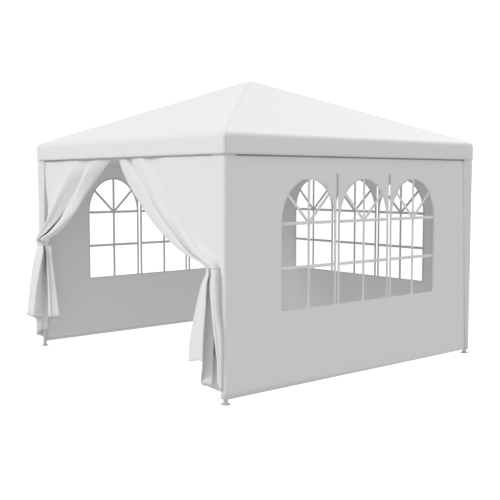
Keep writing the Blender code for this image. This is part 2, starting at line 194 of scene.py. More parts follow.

# %% [markdown]
# ## Cloth and its weave
# The tent is covered with coated woven tape cloth: flat white tapes about 2 mm wide, woven over and under
# and sealed on both sides, so that it has a faint grid and a satin shine. A shader group makes that grid
# from the flat cut of the cloth, which each sheet keeps in metres in its UV map, as a bump and as painted
# shade that greys the low points between the tapes. The same group goes into every cloth with its own
# pitch and strength.

# %% Shader group: tape weave
def tape_weave_group():
    inputs = {"Cloth": "Vector", "Tapes per metre": "Float"}
    group, start, end = new_group("tape_weave", inputs, ("Height", "Painted pit shade"))
    scaled = add_node(group, "ShaderNodeVectorMath", {0: start.outputs[0]}, operation="SCALE")
    group.links.new(maths(group, "MULTIPLY", start.outputs[1], math.pi), scaled.inputs["Scale"])
    parts = add_node(group, "ShaderNodeSeparateXYZ", {0: scaled.outputs[0]})
    warp = maths(group, "SINE", parts.outputs[0])
    weft = maths(group, "SINE", parts.outputs[1])
    over = maths(group, "MULTIPLY", warp, weft)
    edges = maths(group, "MAXIMUM", maths(group, "ABSOLUTE", warp), maths(group, "ABSOLUTE", weft))
    height = maths(group, "MULTIPLY_ADD", over, 0.5, maths(group, "MULTIPLY", edges, 0.5))
    group.links.new(height, end.inputs[0])
    # Painted shade: the second output is highest at the weave's low points, between the tapes.
    group.links.new(maths(group, "SUBTRACT", 1.0, edges), end.inputs[1])
    return group


tape_weave = tape_weave_group()
print("weave group sockets:", [item.name for item in tape_weave.interface.items_tree])


# %% Shader group: dust and handling marks
def outdoor_wear_group():
    """Puts out how much dust, smudge and fine creasing a point has."""
    inputs = {"Position": "Vector", "Splash height": "Float", "Crease scale": "Float"}
    group, start, end = new_group("outdoor_wear", inputs, ("Dust", "Smudge", "Creases"))
    where = start.outputs["Position"]
    cloud = cloudy(group, where, 2.3, Detail=4.0)
    speck = cloudy(group, where, 38.0, Detail=3.0)
    height = add_node(group, "ShaderNodeSeparateXYZ", {0: where}).outputs[2]
    top = start.outputs["Splash height"]
    low = share_between(group, height, 0.0, top, 1.0, 0.0, interpolation_type="SMOOTHSTEP")
    splash = maths(group, "MULTIPLY", low, maths(group, "ADD", cloud, 0.2))
    dust = maths(group, "MULTIPLY", splash, maths(group, "ADD", speck, 0.4))
    smudge = share_between(group, cloud, 0.35, 0.75)
    creases = cloudy(group, where, start.outputs["Crease scale"], Detail=5.0, Distortion=0.6)
    group.links.new(dust, end.inputs[0])
    group.links.new(smudge, end.inputs[1])
    group.links.new(creases, end.inputs[2])
    return group


outdoor_wear = outdoor_wear_group()


def wear_node(tree, splash_height, crease_scale):
    """The wear group in a finish."""
    wear = add_node(tree, "ShaderNodeGroup", node_tree=outdoor_wear)
    values = {"Position": object_place(tree), "Splash height": splash_height}
    fill_sockets(tree, wear, {**values, "Crease scale": crease_scale})
    return wear


# %% Coated cloth finishes
TAPES_PER_METRE = 480.0
CLOTH_SPLASH = 0.35
CLOTH_DUST = (0.55, 0.51, 0.45, 1)
# Grey of the painted shade in the weave's low points.
WEAVE_PIT_SHADE = (0.6, 0.6, 0.6, 1)


def coated_cloth(name, colour, roughness, crease_scale, crease_depth):
    """White coated tape cloth: weave with painted shade in its low points, soft creases, a little dust near
    the ground.
    """
    finish, tree, shader, output = new_finish(name)
    tapes = {"Cloth": cloth_place(tree), "Tapes per metre": TAPES_PER_METRE}
    weave = add_node(tree, "ShaderNodeGroup", node_tree=tape_weave)
    fill_sockets(tree, weave, tapes)
    wear = wear_node(tree, CLOTH_SPLASH, crease_scale)

    dust_share = maths(tree, "MULTIPLY", wear.outputs["Dust"], 0.10)
    dusty = blend(tree, dust_share, colour, CLOTH_DUST)
    # Painted shade: the weave's low points, between the tapes, are greyed a little as if in shade.
    pit_shade_share = maths(tree, "MULTIPLY", weave.outputs["Painted pit shade"], 0.05)
    tree.links.new(blend(tree, pit_shade_share, dusty, WEAVE_PIT_SHADE), shader.inputs["Base Color"])
    shine = maths(tree, "MULTIPLY_ADD", wear.outputs["Smudge"], 0.08, roughness)
    tree.links.new(shine, shader.inputs["Roughness"])
    soft = relief(tree, wear.outputs["Creases"], 0.35, crease_depth)
    fine = relief(tree, weave.outputs["Height"], 0.25, 0.00025, Normal=soft)
    tree.links.new(fine, shader.inputs["Normal"])
    shader.inputs["Specular IOR Level"].default_value = 0.35
    shader.inputs["Sheen Weight"].default_value = 0.04
    return finish


CLOTH_WHITE = (0.84, 0.84, 0.835, 1)
roof_cloth = coated_cloth("roof_cloth", CLOTH_WHITE, 0.52, 5.0, 0.003)
wall_cloth = coated_cloth("wall_cloth", CLOTH_WHITE, 0.55, 7.0, 0.0025)
curtain_cloth = coated_cloth("curtain_cloth", CLOTH_WHITE, 0.58, 9.0, 0.003)


# %% Thread and webbing finishes
def thread_finish():
    """Polyester thread, a slightly cooler white, with painted shade in bands for the grooves of its twist.
    """
    finish, tree, shader, output = new_finish("thread")
    wave = {"Vector": object_place(tree), "Scale": 900.0, "Distortion": 1.5}
    # Painted shade: darker bands stand for the shade in the grooves of the twist.
    twist_groove_shade = add_node(tree, "ShaderNodeTexWave", wave).outputs[1]
    shade = blend(tree, twist_groove_shade, (0.70, 0.70, 0.70, 1), (0.82, 0.82, 0.82, 1))
    tree.links.new(shade, shader.inputs["Base Color"])
    shader.inputs["Roughness"].default_value = 0.6
    return finish


def webbing_finish():
    """White webbing: ribs across the band, a little rougher than the coated cloth."""
    finish, tree, shader, output = new_finish("webbing")
    parts = add_node(tree, "ShaderNodeSeparateXYZ", {0: cloth_place(tree)})
    ribs = maths(tree, "SINE", maths(tree, "MULTIPLY", parts.outputs[1], math.tau * 700))
    braid = maths(tree, "SINE", maths(tree, "MULTIPLY", parts.outputs[0], math.tau * 400))
    height = maths(tree, "MULTIPLY_ADD", ribs, 0.5, maths(tree, "MULTIPLY", braid, 0.3))
    tree.links.new(relief(tree, height, 0.5, 0.0003), shader.inputs["Normal"])
    cloud = cloudy(tree, object_place(tree), 20.0)
    shade = blend(tree, cloud, (0.76, 0.76, 0.75, 1), (0.84, 0.84, 0.83, 1))
    tree.links.new(shade, shader.inputs["Base Color"])
    shader.inputs["Roughness"].default_value = 0.75
    return finish


thread = thread_finish()
webbing = webbing_finish()


# %% Clear window film
def clear_film_finish():
    """Clear soft film: it passes what is behind it, with a sharp shine that grows at a slant."""
    finish, tree, shader, output = new_finish("clear_film")
    shader.inputs["Base Color"].default_value = (0.93, 0.95, 0.96, 1)
    shader.inputs["Roughness"].default_value = 0.06
    bump = relief(tree, cloudy(tree, object_place(tree), 5.0, Detail=2.0), 0.25, 0.003)
    tree.links.new(bump, shader.inputs["Normal"])
    clear = add_node(tree, "ShaderNodeBsdfTransparent", {"Color": (0.90, 0.90, 0.89, 1)})
    facing = add_node(tree, "ShaderNodeLayerWeight", {"Blend": 0.5, "Normal": bump})
    slant = maths(tree, "POWER", facing.outputs["Facing"], 5.0)
    share = maths(tree, "MULTIPLY_ADD", slant, 0.9, 0.02)
    mixed = add_node(
        tree, "ShaderNodeMixShader", {0: share, 1: clear.outputs[0], 2: shader.outputs[0]}
    )
    tree.links.new(mixed.outputs[0], output.inputs["Surface"])
    return finish


clear_film = clear_film_finish()


# %% [markdown]
# ## Coated steel
# The frame is thin steel tube with a baked white coating. Close up that coating has a fine orange-peel
# texture, it is worn thinner and greyer in scattered scuffs, and it gathers dust near the ground.
# The CAD pieces are right in shape, so they stay and only get this finish.

# %% Steel finishes
STEEL_SPLASH = 0.25
STEEL_CREASES = 30.0
STEEL_DUST = (0.42, 0.38, 0.33, 1)


def coated_steel_finish(name, colour, worn, roughness):
    finish, tree, shader, output = new_finish(name)
    place = object_place(tree)
    peel = cloudy(tree, place, 420.0, Detail=2.0)
    scuff = cloudy(tree, place, 14.0, Detail=6.0, Roughness=0.7)
    marks = share_between(tree, scuff, 0.60, 0.68)
    wear = wear_node(tree, STEEL_SPLASH, STEEL_CREASES)
    scuffed = blend(tree, maths(tree, "MULTIPLY", marks, 0.45), colour, worn)
    dust_share = maths(tree, "MULTIPLY", wear.outputs["Dust"], 0.5)
    tree.links.new(blend(tree, dust_share, scuffed, STEEL_DUST), shader.inputs["Base Color"])
    shine = maths(tree, "MULTIPLY_ADD", marks, 0.2, roughness)
    tree.links.new(shine, shader.inputs["Roughness"])
    tree.links.new(relief(tree, peel, 0.15, 0.0002), shader.inputs["Normal"])
    return finish


steel = coated_steel_finish("coated_steel", (0.74, 0.74, 0.73, 1), (0.36, 0.36, 0.36, 1), 0.38)
foot_steel = coated_steel_finish("foot_steel", (0.60, 0.60, 0.59, 1), (0.30, 0.29, 0.28, 1), 0.45)

STEEL_PARTS = ("lower_leg", "upper_leg", "corner_connector", "eave_rail", "rafter", "crown_hub")
for name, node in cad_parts.items():
    if name.startswith(STEEL_PARTS):
        node.data.materials.clear()
        node.data.materials.append(steel)
    elif name.startswith("foot"):
        node.data.materials.clear()
        node.data.materials.append(foot_steel)
print("steel pieces:", sum(name.startswith(STEEL_PARTS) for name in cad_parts))


# %% [markdown]
# ## Making a sheet
# Every cloth piece here starts as one flat grid from bmesh, cut to size in metres. Each vertex is then
# moved to where that point of the cloth hangs, so the flat cut survives in the UV map and the weave
# follows the cloth round corners and into folds. A live Solidify gives the sheet its thickness.

# %% Helpers for cloth
CLOTH_THICK = 0.001
WELD = 0.00002


def ease(low, high, value):
    """0 at low, 1 at high and beyond, and a smooth step between."""
    share = min(1.0, max(0.0, (value - low) / (high - low)))
    return share * share * (3 - 2 * share)


def cloth_grid(columns, rows, place, cut):
    """A grid laid by place(across, down), both from 0 to 1, with the flat cut in its UV map."""
    shape = bmesh.new()
    bmesh.ops.create_grid(shape, x_segments=columns, y_segments=rows, size=0.5)
    flat = shape.loops.layers.uv.new("cloth")
    for face in shape.faces:
        for loop in face.loops:
            corner = loop.vert.co
            loop[flat].uv = ((corner.x + 0.5) * cut[0], (corner.y + 0.5) * cut[1])
    for vert in shape.verts:
        vert.co = place(vert.co.x + 0.5, 0.5 - vert.co.y)
    return shape


def join_sheets(sheets):
    """Several sheets as one bmesh."""
    joined = bmesh.new()
    for sheet in sheets:
        mesh = bpy.data.meshes.new("sheet")
        sheet.to_mesh(mesh)
        sheet.free()
        joined.from_mesh(mesh)
        bpy.data.meshes.remove(mesh)
    return joined


def area_of(shape):
    return sum(face.calc_area() for face in shape.faces)


def close_grid(shape):
    """Welds the edges of a grid that has come round to meet itself, and points its faces out."""
    bmesh.ops.remove_doubles(shape, verts=shape.verts, dist=WELD)
    bmesh.ops.recalc_face_normals(shape, faces=shape.faces)


def finish_piece(name, shape, finish, stands_for=(), thick=0.0, offset=-1.0):
    """Makes the piece, rides it on the tent's one body and gives it its thickness."""
    mesh = bpy.data.meshes.new(name)
    shape.to_mesh(mesh)
    shape.free()
    piece = bpy.data.objects.new(name, mesh)
    bpy.context.scene.collection.objects.link(piece)
    mesh.materials.append(finish)
    mesh.polygons.foreach_set("use_smooth", [True] * len(mesh.polygons))
    if thick:
        shell = piece.modifiers.new("thickness", "SOLIDIFY")
        shell.thickness = thick
        shell.offset = offset
    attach(piece, "root")
    if stands_for:
        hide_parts(*stands_for)
    print(name, len(mesh.polygons), "faces")
    return piece


# %% [markdown]
# ## Roof cover
# The cover is one sewn sheet: four slopes that meet in soft hips, a rounded eave, and a straight valance
# 14 cm deep. Its outline from the peak to the hem is one curve, and its plan is a square with rounded
# corners, so a grid that runs down that curve and round the square gives the whole cover as one surface.
# The slopes sag a few millimetres between the tubes, as cloth does.

# %% The cover's outline
HALF_SIDE = 1.511
PEAK_HEIGHT = 2.6273
EAVE_HEIGHT = 2.0159
VALANCE_BOTTOM = 1.858
EAVE_ROUND = 0.05
PEAK_FLAT = 0.03
CORNER_ROUND = 0.03
SAG = 0.006
VALANCE_WAVE = 0.0008
WAVE_COLUMNS = 6.0
SLOPE = (PEAK_HEIGHT - EAVE_HEIGHT) / HALF_SIDE
PITCH = math.atan(SLOPE)
EAVE_TURN = math.pi / 2 - PITCH
EAVE_SETBACK = EAVE_ROUND * math.tan(EAVE_TURN / 2)
SLOPE_LENGTH = HALF_SIDE / math.cos(PITCH) - EAVE_SETBACK
EAVE_LENGTH = EAVE_ROUND * EAVE_TURN
VALANCE_TOP = EAVE_HEIGHT - EAVE_SETBACK
COVER_LENGTH = SLOPE_LENGTH + EAVE_LENGTH + VALANCE_TOP - VALANCE_BOTTOM


def cover_outline(down):
    """Distance out, height, and the outward direction, down metres of cloth from the peak."""
    if down < SLOPE_LENGTH:
        out = down * math.cos(PITCH)
        height = PEAK_HEIGHT - SLOPE * out
        if out < PEAK_FLAT:
            height -= SLOPE * (PEAK_FLAT - out) ** 2 / (2 * PEAK_FLAT)
        return out, height, math.sin(PITCH), math.cos(PITCH)
    if down < SLOPE_LENGTH + EAVE_LENGTH:
        turn = PITCH + (down - SLOPE_LENGTH) / EAVE_ROUND
        out = HALF_SIDE - EAVE_ROUND + EAVE_ROUND * math.sin(turn)
        return out, VALANCE_TOP + EAVE_ROUND * math.cos(turn), math.sin(turn), math.cos(turn)
    return HALF_SIDE, VALANCE_TOP - (down - SLOPE_LENGTH - EAVE_LENGTH), 1.0, 0.0


SIDE_COLUMNS = 36
CORNER_COLUMNS = 6
COLUMNS_A_SIDE = SIDE_COLUMNS + CORNER_COLUMNS


def cover_point(round_tent, down, lift=0.0):
    """A point of the cover. round_tent counts sides: 0 to 1 is the front side and its corner."""
    side = math.floor(round_tent + 1e-9)
    share = (round_tent - side) * COLUMNS_A_SIDE
    out, height, level, upright = cover_outline(down)
    bend = min(CORNER_ROUND, out)
    straight = out - bend
    if share <= SIDE_COLUMNS:
        along = straight * (2 * share / SIDE_COLUMNS - 1)
        plan = Vector((along, -out, 0))
        outward = Vector((0, -1, 0))
        middle = math.sin(math.pi * share / SIDE_COLUMNS)
    else:
        turn = math.pi / 2 * (share - SIDE_COLUMNS) / CORNER_COLUMNS
        outward = Vector((math.sin(turn), -math.cos(turn), 0))
        plan = Vector((straight, -straight, 0)) + outward * bend
        middle = 0.0
    if down < SLOPE_LENGTH:
        lift -= SAG * middle * math.sin(math.pi * down / SLOPE_LENGTH) ** 2
    else:
        hang = max(0.0, (VALANCE_TOP - height) / (VALANCE_TOP - VALANCE_BOTTOM))
        lift -= VALANCE_WAVE * hang * (1 - math.cos(math.tau * share / WAVE_COLUMNS)) * middle
    point = plan + Vector((0, 0, height)) + (outward * level + Vector((0, 0, upright))) * lift
    return Matrix.Rotation(math.pi / 2 * side, 3, "Z") @ point


print("cloth from peak to hem:", round(COVER_LENGTH, 3), "m")


# %% Lay the cover
SLOPE_ROWS = 30
EAVE_ROWS = 6
VALANCE_ROWS = 8
ROWS_CROWD = 1.2
CUT_ROUND = 12.0
PANEL_APART = 3.1
ROWS_DOWN = [
    *(SLOPE_LENGTH * (row / SLOPE_ROWS) ** ROWS_CROWD for row in range(SLOPE_ROWS)),
    *(SLOPE_LENGTH + EAVE_LENGTH * row / EAVE_ROWS for row in range(EAVE_ROWS)),
    *(
        COVER_LENGTH - (VALANCE_TOP - VALANCE_BOTTOM) * (1 - row / VALANCE_ROWS)
        for row in range(VALANCE_ROWS + 1)
    ),
]


def lay_cover(across, down):
    return cover_point(across * 4, ROWS_DOWN[round(down * (len(ROWS_DOWN) - 1))])


shape = cloth_grid(4 * COLUMNS_A_SIDE, len(ROWS_DOWN) - 1, lay_cover, (CUT_ROUND, COVER_LENGTH))
close_grid(shape)
flat = shape.loops.layers.uv["cloth"]
for face in shape.faces:
    middle = face.calc_center_median()
    quarter = (math.atan2(middle.y, middle.x) + math.pi * 0.75) / (math.pi / 2)
    side = math.floor(quarter) % 4
    turn_back = Matrix.Rotation(-math.pi / 2 * side, 3, "Z")
    rise = math.sin(PITCH) if face.normal.z > 0.2 else 1.0
    for loop in face.loops:
        facing_us = turn_back @ loop.vert.co
        loop[flat].uv = (facing_us.x + side * PANEL_APART, (facing_us.z - VALANCE_BOTTOM) / rise)
ROOF_PANELS = ("roof_panel_front", "roof_panel_right", "roof_panel_back", "roof_panel_left")
roof_cover = finish_piece(
    "roof_cover", shape, roof_cloth, ROOF_PANELS, thick=CLOTH_THICK
)


# %% [markdown]
# ## Hips and hems
# On the real cover each hip is a flat-felled seam: both edges folded into a band about 2 cm wide and sewn
# down twice. The valance ends in a hem turned up on the inside. Both are narrow strips that follow the
# cover's own surface, lifted off it by the thickness of the folded cloth.

# %% Hip seams
SEAM_HALF = 0.010
SEAM_LIFT = 0.0008
SEAM_START = 0.05
SEAM_LENGTH = COVER_LENGTH - SEAM_START
SEAM_TUCK = -0.0004
SEAM_THICK = 0.0004


def hip_point(corner, aside, down, lift):
    """A point beside a hip, aside metres from it along the cover."""
    out = cover_outline(down)[0]
    bend = max(min(CORNER_ROUND, out), 0.001)
    share = SIDE_COLUMNS + CORNER_COLUMNS * (0.5 + aside / bend / (math.pi / 2))
    return cover_point(corner + share / COLUMNS_A_SIDE, down, lift)


seams = []
for corner in range(4):
    def lay_seam(across, down, corner=corner):
        aside = across * 2 - 1
        lift = SEAM_LIFT if abs(aside) < 0.9 else SEAM_TUCK
        return hip_point(corner, aside * SEAM_HALF, SEAM_START + SEAM_LENGTH * down, lift)

    seams.append(cloth_grid(6, 90, lay_seam, (2 * SEAM_HALF, SEAM_LENGTH)))
roof_seams = finish_piece(
    "roof_seams", join_sheets(seams), roof_cloth, thick=SEAM_THICK, offset=1.0
)


# %% Valance hem
HEM_DEPTH = 0.022
HEM_LIFT = -0.0016
COVER_HEM_THICK = 0.0008


def lay_hem(across, down):
    """A band inside the valance, folded round its lower edge."""
    return cover_point(across * 4, COVER_LENGTH - HEM_DEPTH * (1 - down), HEM_LIFT)


shape = cloth_grid(4 * COLUMNS_A_SIDE, 3, lay_hem, (CUT_ROUND, HEM_DEPTH))
close_grid(shape)
cover_hem = finish_piece("cover_hem", shape, roof_cloth, thick=COVER_HEM_THICK)


# %% [markdown]
# ## Window walls
# Three walls are closed. Each is one sheet of cloth with three arched windows and two narrow slits cut
# out between them, bound at the edges. A flat curve filled with holes gives that outline exactly; cuts
# with bisect_plane then give the sheet a lattice of vertices, so that it can hang in slow ripples and turn
# round the front right corner, where wall and corner strip are one cloth.

# %% Measures of the walls
WALL_OUT = 1.4938
WALL_FOOT = 0.039
WALL_HEM_TOP = 1.847
STRIP_TOP = 1.975
WALL_BEND = 0.0264
SILL = 0.648
MIDDLE_BAR = 0.981
ARCH_FOOT = 1.33
ARCH_TOP = 1.674
PANE_HALF = 0.2895
PANE_PITCH = 0.643
BAR_HALF = 0.0122
SLIT_CENTRE = 0.322
SLIT_HALF = 0.0105
SLIT_TOP = 1.717
WALL_STRAIGHT = WALL_OUT - WALL_BEND
BEND_LENGTH = WALL_BEND * math.pi / 2
STRIP_EDGE_TOP = 1.366
STRIP_TAPER = 0.098
STRIP_CURVE = 1.15
SLOW_RIPPLE = 0.0010
QUICK_RIPPLE = 0.0005
WALL_SIDES = ((1, "right"), (2, "back"), (3, "left"))
STRIP_SIDES = ((1, "back_right"), (2, "back_left"), (3, "front_left"))


def ripple(along, height):
    """How far the wall stands out at a point, at most 2 mm: slow waves that fade at the top."""
    slow = math.sin(along * 5.1 + height * 0.9) * math.cos(along * 2.3 - height * 1.7 + 0.6)
    quick = math.sin(along * 13.0 + height * 2.2 + 1.0) * math.sin(height * 3.1)
    return SLOW_RIPPLE * slow + QUICK_RIPPLE * quick


def wall_point(side, along, height, lift=0.0):
    """A point on the walls. along runs rightwards from the middle of a side, as seen from outside,
    and carries on round its corners."""
    over = abs(along) - WALL_STRAIGHT
    hand = math.copysign(1.0, along)
    if over <= 0:
        local = Vector((along, -(WALL_OUT + lift), height))
    elif over < BEND_LENGTH:
        turn = over / WALL_BEND
        radius = WALL_BEND + lift
        local = Vector(
            (
                hand * (WALL_STRAIGHT + radius * math.sin(turn)),
                -(WALL_STRAIGHT + radius * math.cos(turn)),
                height,
            )
        )
    else:
        local = Vector((hand * (WALL_OUT + lift), -WALL_STRAIGHT + over - BEND_LENGTH, height))
    return Matrix.Rotation(math.pi / 2 * side, 3, "Z") @ local


def strip_edge(height):
    """Where a corner strip ends on a wall: 13 cm from the corner at the top, 3 cm at the foot."""
    share = (STRIP_TOP - height) / (STRIP_TOP - WALL_FOOT)
    return STRIP_EDGE_TOP + STRIP_TAPER * share**STRIP_CURVE


# %% Window outlines
def arch(middle, grow=0.0, steps=24):
    """The upper edge of a window, from its right springing to its left one."""
    turns = (math.pi * step / steps for step in range(steps + 1))
    return [
        (
            middle + (PANE_HALF + grow) * math.cos(turn),
            ARCH_FOOT + (ARCH_TOP - ARCH_FOOT + grow) * math.sin(turn),
        )
        for turn in turns
    ]


def window_outline(middle, grow=0.0):
    left, right = middle - PANE_HALF - grow, middle + PANE_HALF + grow
    return [(left, SILL - grow), (right, SILL - grow), *arch(middle, grow)]


def slit_outline(middle, grow=0.0):
    half = SLIT_HALF + grow
    return [
        (middle - half, SILL - grow),
        (middle + half, SILL - grow),
        (middle + half, SLIT_TOP + grow),
        (middle - half, SLIT_TOP + grow),
    ]


WINDOW_MIDDLES = (-PANE_PITCH, 0.0, PANE_PITCH)
OPENINGS = [window_outline(middle) for middle in WINDOW_MIDDLES]
OPENINGS += [slit_outline(hand * SLIT_CENTRE) for hand in (-1, 1)]
print("openings in each wall:", len(OPENINGS))


# %% A flat sheet with holes, cut into a lattice
def pierced_sheet(outline, holes, lattice, folds=()):
    """A bmesh of the flat sheet, with extra edges every lattice metres and at each upright fold."""
    curve = bpy.data.curves.new("outline", "CURVE")
    curve.dimensions = "2D"
    curve.fill_mode = "BOTH"
    for loop in [outline, *holes]:
        line = curve.splines.new("POLY")
        line.points.add(len(loop) - 1)
        for point, (x, z) in zip(line.points, loop):
            point.co = (x, z, 0.0, 1.0)
        line.use_cyclic_u = True
    guide = bpy.data.objects.new("outline", curve)
    bpy.context.scene.collection.objects.link(guide)
    bpy.context.view_layer.update()
    flat = bpy.data.meshes.new_from_object(
        guide.evaluated_get(bpy.context.evaluated_depsgraph_get())
    )
    bpy.data.objects.remove(guide)
    bpy.data.curves.remove(curve)
    shape = bmesh.new()
    shape.from_mesh(flat)
    bpy.data.meshes.remove(flat)
    bmesh.ops.remove_doubles(shape, verts=shape.verts, dist=0.00005)
    xs = [point[0] for point in outline]
    zs = [point[1] for point in outline]
    cuts = [(Vector((1, 0, 0)), fold) for fold in folds]
    for normal, low, high in (
        (Vector((1, 0, 0)), min(xs), max(xs)),
        (Vector((0, 1, 0)), min(zs), max(zs)),
    ):
        steps = round((high - low) / lattice)
        cuts += [(normal, low + number * lattice) for number in range(1, steps)]
    for normal, place in cuts:
        everything = [*shape.verts, *shape.edges, *shape.faces]
        bmesh.ops.bisect_plane(shape, geom=everything, plane_co=normal * place, plane_no=normal)
    flat_cut = shape.loops.layers.uv.new("cloth")
    for face in shape.faces:
        if face.normal.z > 0:
            face.normal_flip()
        for loop in face.loops:
            loop[flat_cut].uv = loop.vert.co.xy
    return shape


def hang_on_side(shape, side, lift=0.0, wave=1.0):
    """Moves a flat sheet from its plan in X and Y onto one side of the tent, rippled."""
    for vert in shape.verts:
        along, height = vert.co.x, vert.co.y
        vert.co = wall_point(side, along, height, lift + wave * ripple(along, height))
    bmesh.ops.recalc_face_normals(shape, faces=shape.faces)
    return shape


# %% Hang the three walls
LATTICE = 0.06
EDGE_GAP = 0.003
STRIP_STEP = 0.112
RETURN_TOP = 0.162
RETURN_HIDDEN = 0.25
RETURN_TAIL = 0.100
RETURN_FOOT = 0.054
RETURN_DROP = 0.006
RETURN_BENDS = (1.40, 1.02, 0.16, 0.10)
heights_up = [WALL_FOOT + (WALL_HEM_TOP - WALL_FOOT) * step / 12 for step in range(13)]


def side_edge(hand):
    """The wall's slanted edge along a corner strip, foot to top."""
    return [(hand * (strip_edge(height) - EDGE_GAP), height) for height in heights_up]


def wall_outline(wraps_front):
    """The wall's outline. The right wall carries on round the front corner as its corner strip."""
    right = side_edge(1)
    if not wraps_front:
        return right + side_edge(-1)[::-1]
    step_in = -(WALL_OUT - STRIP_STEP)
    corner = -(WALL_STRAIGHT + BEND_LENGTH - WALL_BEND)
    hidden_foot, tail_top, tail_foot, foot_top = RETURN_BENDS
    return right + [
        (step_in, WALL_HEM_TOP),
        (step_in, STRIP_TOP),
        (corner - RETURN_TOP, STRIP_TOP),
        (corner - RETURN_TOP, WALL_HEM_TOP - RETURN_DROP),
        (corner - RETURN_HIDDEN, WALL_HEM_TOP - RETURN_DROP),
        (corner - RETURN_HIDDEN, hidden_foot),
        (corner - RETURN_TAIL, tail_top),
        (corner - RETURN_TAIL, tail_foot),
        (corner - RETURN_FOOT, foot_top),
        (corner - RETURN_FOOT, WALL_FOOT),
    ]


BEND_CUTS = [-WALL_STRAIGHT - BEND_LENGTH * step / 10 for step in range(-1, 12)]
for side, where in WALL_SIDES:
    shape = pierced_sheet(
        wall_outline(side == 1), OPENINGS, LATTICE, BEND_CUTS if side == 1 else ()
    )
    area_of(shape)
    hang_on_side(shape, side)
    stands_for = [f"window_wall_{where}"]
    if side == 1:
        stands_for.append("leg_sleeve_front_right")
    finish_piece(
        f"wall_{where}", shape, wall_cloth, stands_for, thick=CLOTH_THICK
    )


# %% [markdown]
# ## Window film and bars
# Each row of windows is closed by one sheet of clear soft film, sewn in behind the openings. The white
# bars that divide the panes are strips of cloth welded to the film: two uprights and cross bars to a
# window, and three that fan out under the arch. One filled curve a window gives all its bars at once.

# %% Window film
FILM_BORDER = 0.012
SLIT_BORDER = 0.006
FILM_LIFT = -0.0030
PANE_LATTICE = 0.12


for side, where in WALL_SIDES:
    outlines = [window_outline(middle, FILM_BORDER) for middle in WINDOW_MIDDLES]
    outlines += [slit_outline(hand * SLIT_CENTRE, SLIT_BORDER) for hand in (-1, 1)]
    shape = join_sheets(pierced_sheet(outline, (), PANE_LATTICE) for outline in outlines)
    film_cut = area_of(shape)
    hang_on_side(shape, side, FILM_LIFT)
    film = finish_piece(
        f"film_{where}", shape, clear_film, [f"window_film_{where}"]
    )


# %% Panes between the bars
def bar_crossing(direction, edge):
    """Where one edge of a fanned bar meets the arch; edge is +1 for its upper edge, -1 for its lower."""
    rise = ARCH_TOP - ARCH_FOOT
    along = Vector((math.cos(direction), math.sin(direction)))
    aside = Vector((-along.y, along.x)) * edge * BAR_HALF
    square = (along.x / PANE_HALF) ** 2 + (along.y / rise) ** 2
    cross = 2 * (along.x * aside.x / PANE_HALF**2 + along.y * aside.y / rise**2)
    rest = (aside.x / PANE_HALF) ** 2 + (aside.y / rise) ** 2 - 1
    return aside + along * (-cross + math.sqrt(cross**2 - 4 * square * rest)) / (2 * square)


def fan_panes(middle):
    """The four panes under the arch, between bars at 45 degrees."""
    rise = ARCH_TOP - ARCH_FOOT
    fan = math.pi / 4
    panes = []
    for number in range(4):
        low, high = fan * number, fan * (number + 1)
        centre = Vector((math.cos(low + fan / 2), math.sin(low + fan / 2)))
        first, last = bar_crossing(low, 1), bar_crossing(high, -1)
        start = math.atan2(first.y / rise, first.x / PANE_HALF)
        end = math.atan2(last.y / rise, last.x / PANE_HALF)
        turns = (start + (end - start) * step / 8 for step in range(9))
        points = [centre * BAR_HALF / math.sin(fan / 2)]
        points += [Vector((PANE_HALF * math.cos(turn), rise * math.sin(turn))) for turn in turns]
        panes.append([(middle + point.x, ARCH_FOOT + point.y) for point in points])
    return panes


def square_panes(middle):
    """The four panes below the arch."""
    rows = ((SILL, MIDDLE_BAR - BAR_HALF), (MIDDLE_BAR + BAR_HALF, ARCH_FOOT - BAR_HALF))
    columns = ((middle - PANE_HALF, middle - BAR_HALF), (middle + BAR_HALF, middle + PANE_HALF))
    return [
        [(left, low), (right, low), (right, high), (left, high)]
        for left, right in columns
        for low, high in rows
    ]


# %% Weld the bars to the film
BAR_TUCK = 0.008
BAR_LIFT = -0.0018
BAR_THICK = 0.0006
for side, where in WALL_SIDES:
    bars = join_sheets(
        pierced_sheet(
            window_outline(middle, BAR_TUCK),
            square_panes(middle) + fan_panes(middle),
            PANE_LATTICE,
        )
        for middle in WINDOW_MIDDLES
    )
    hang_on_side(bars, side, BAR_LIFT)
    finish_piece(
        f"window_bars_{where}", bars, wall_cloth, thick=BAR_THICK
    )


# %% [markdown]
# ## Header bands
# Behind the valance a band of cloth hangs inside each eave rail. It closes the slit between valance and
# wall from inside, so only a dark line shows there. A plain grid makes it; shallow waves keep it cloth.

# %% Hang the header bands
HEADER_IN = 1.448
HEADER_OUT = 1.488
HEADER_HALF = 1.425
HEADER_TOP = 1.975
HEADER_FOOT = 1.812
FRONT_HEADER_FOOT = 1.856
HEADER_BEND = (1.90, 1.835)
HEADER_WAVE = 0.0015
HEADER_WAVES = 19.0
for side, where in enumerate(("front", "right", "back", "left")):
    foot = HEADER_FOOT if side else FRONT_HEADER_FOOT

    def lay_header(across, down, side=side, foot=foot):
        along = HEADER_HALF * (2 * across - 1)
        height = HEADER_TOP + (foot - HEADER_TOP) * down
        wave = HEADER_WAVE * math.sin(along * HEADER_WAVES) * down
        out = HEADER_IN + (HEADER_OUT - HEADER_IN) * ease(*HEADER_BEND, height) + wave
        local = Vector((along, -out, height))
        return Matrix.Rotation(math.pi / 2 * side, 3, "Z") @ local

    shape = cloth_grid(96, 6, lay_header, (2 * HEADER_HALF, HEADER_TOP - foot))
    bmesh.ops.recalc_face_normals(shape, faces=shape.faces)
    header = finish_piece(f"header_{where}", shape, wall_cloth, thick=CLOTH_THICK)


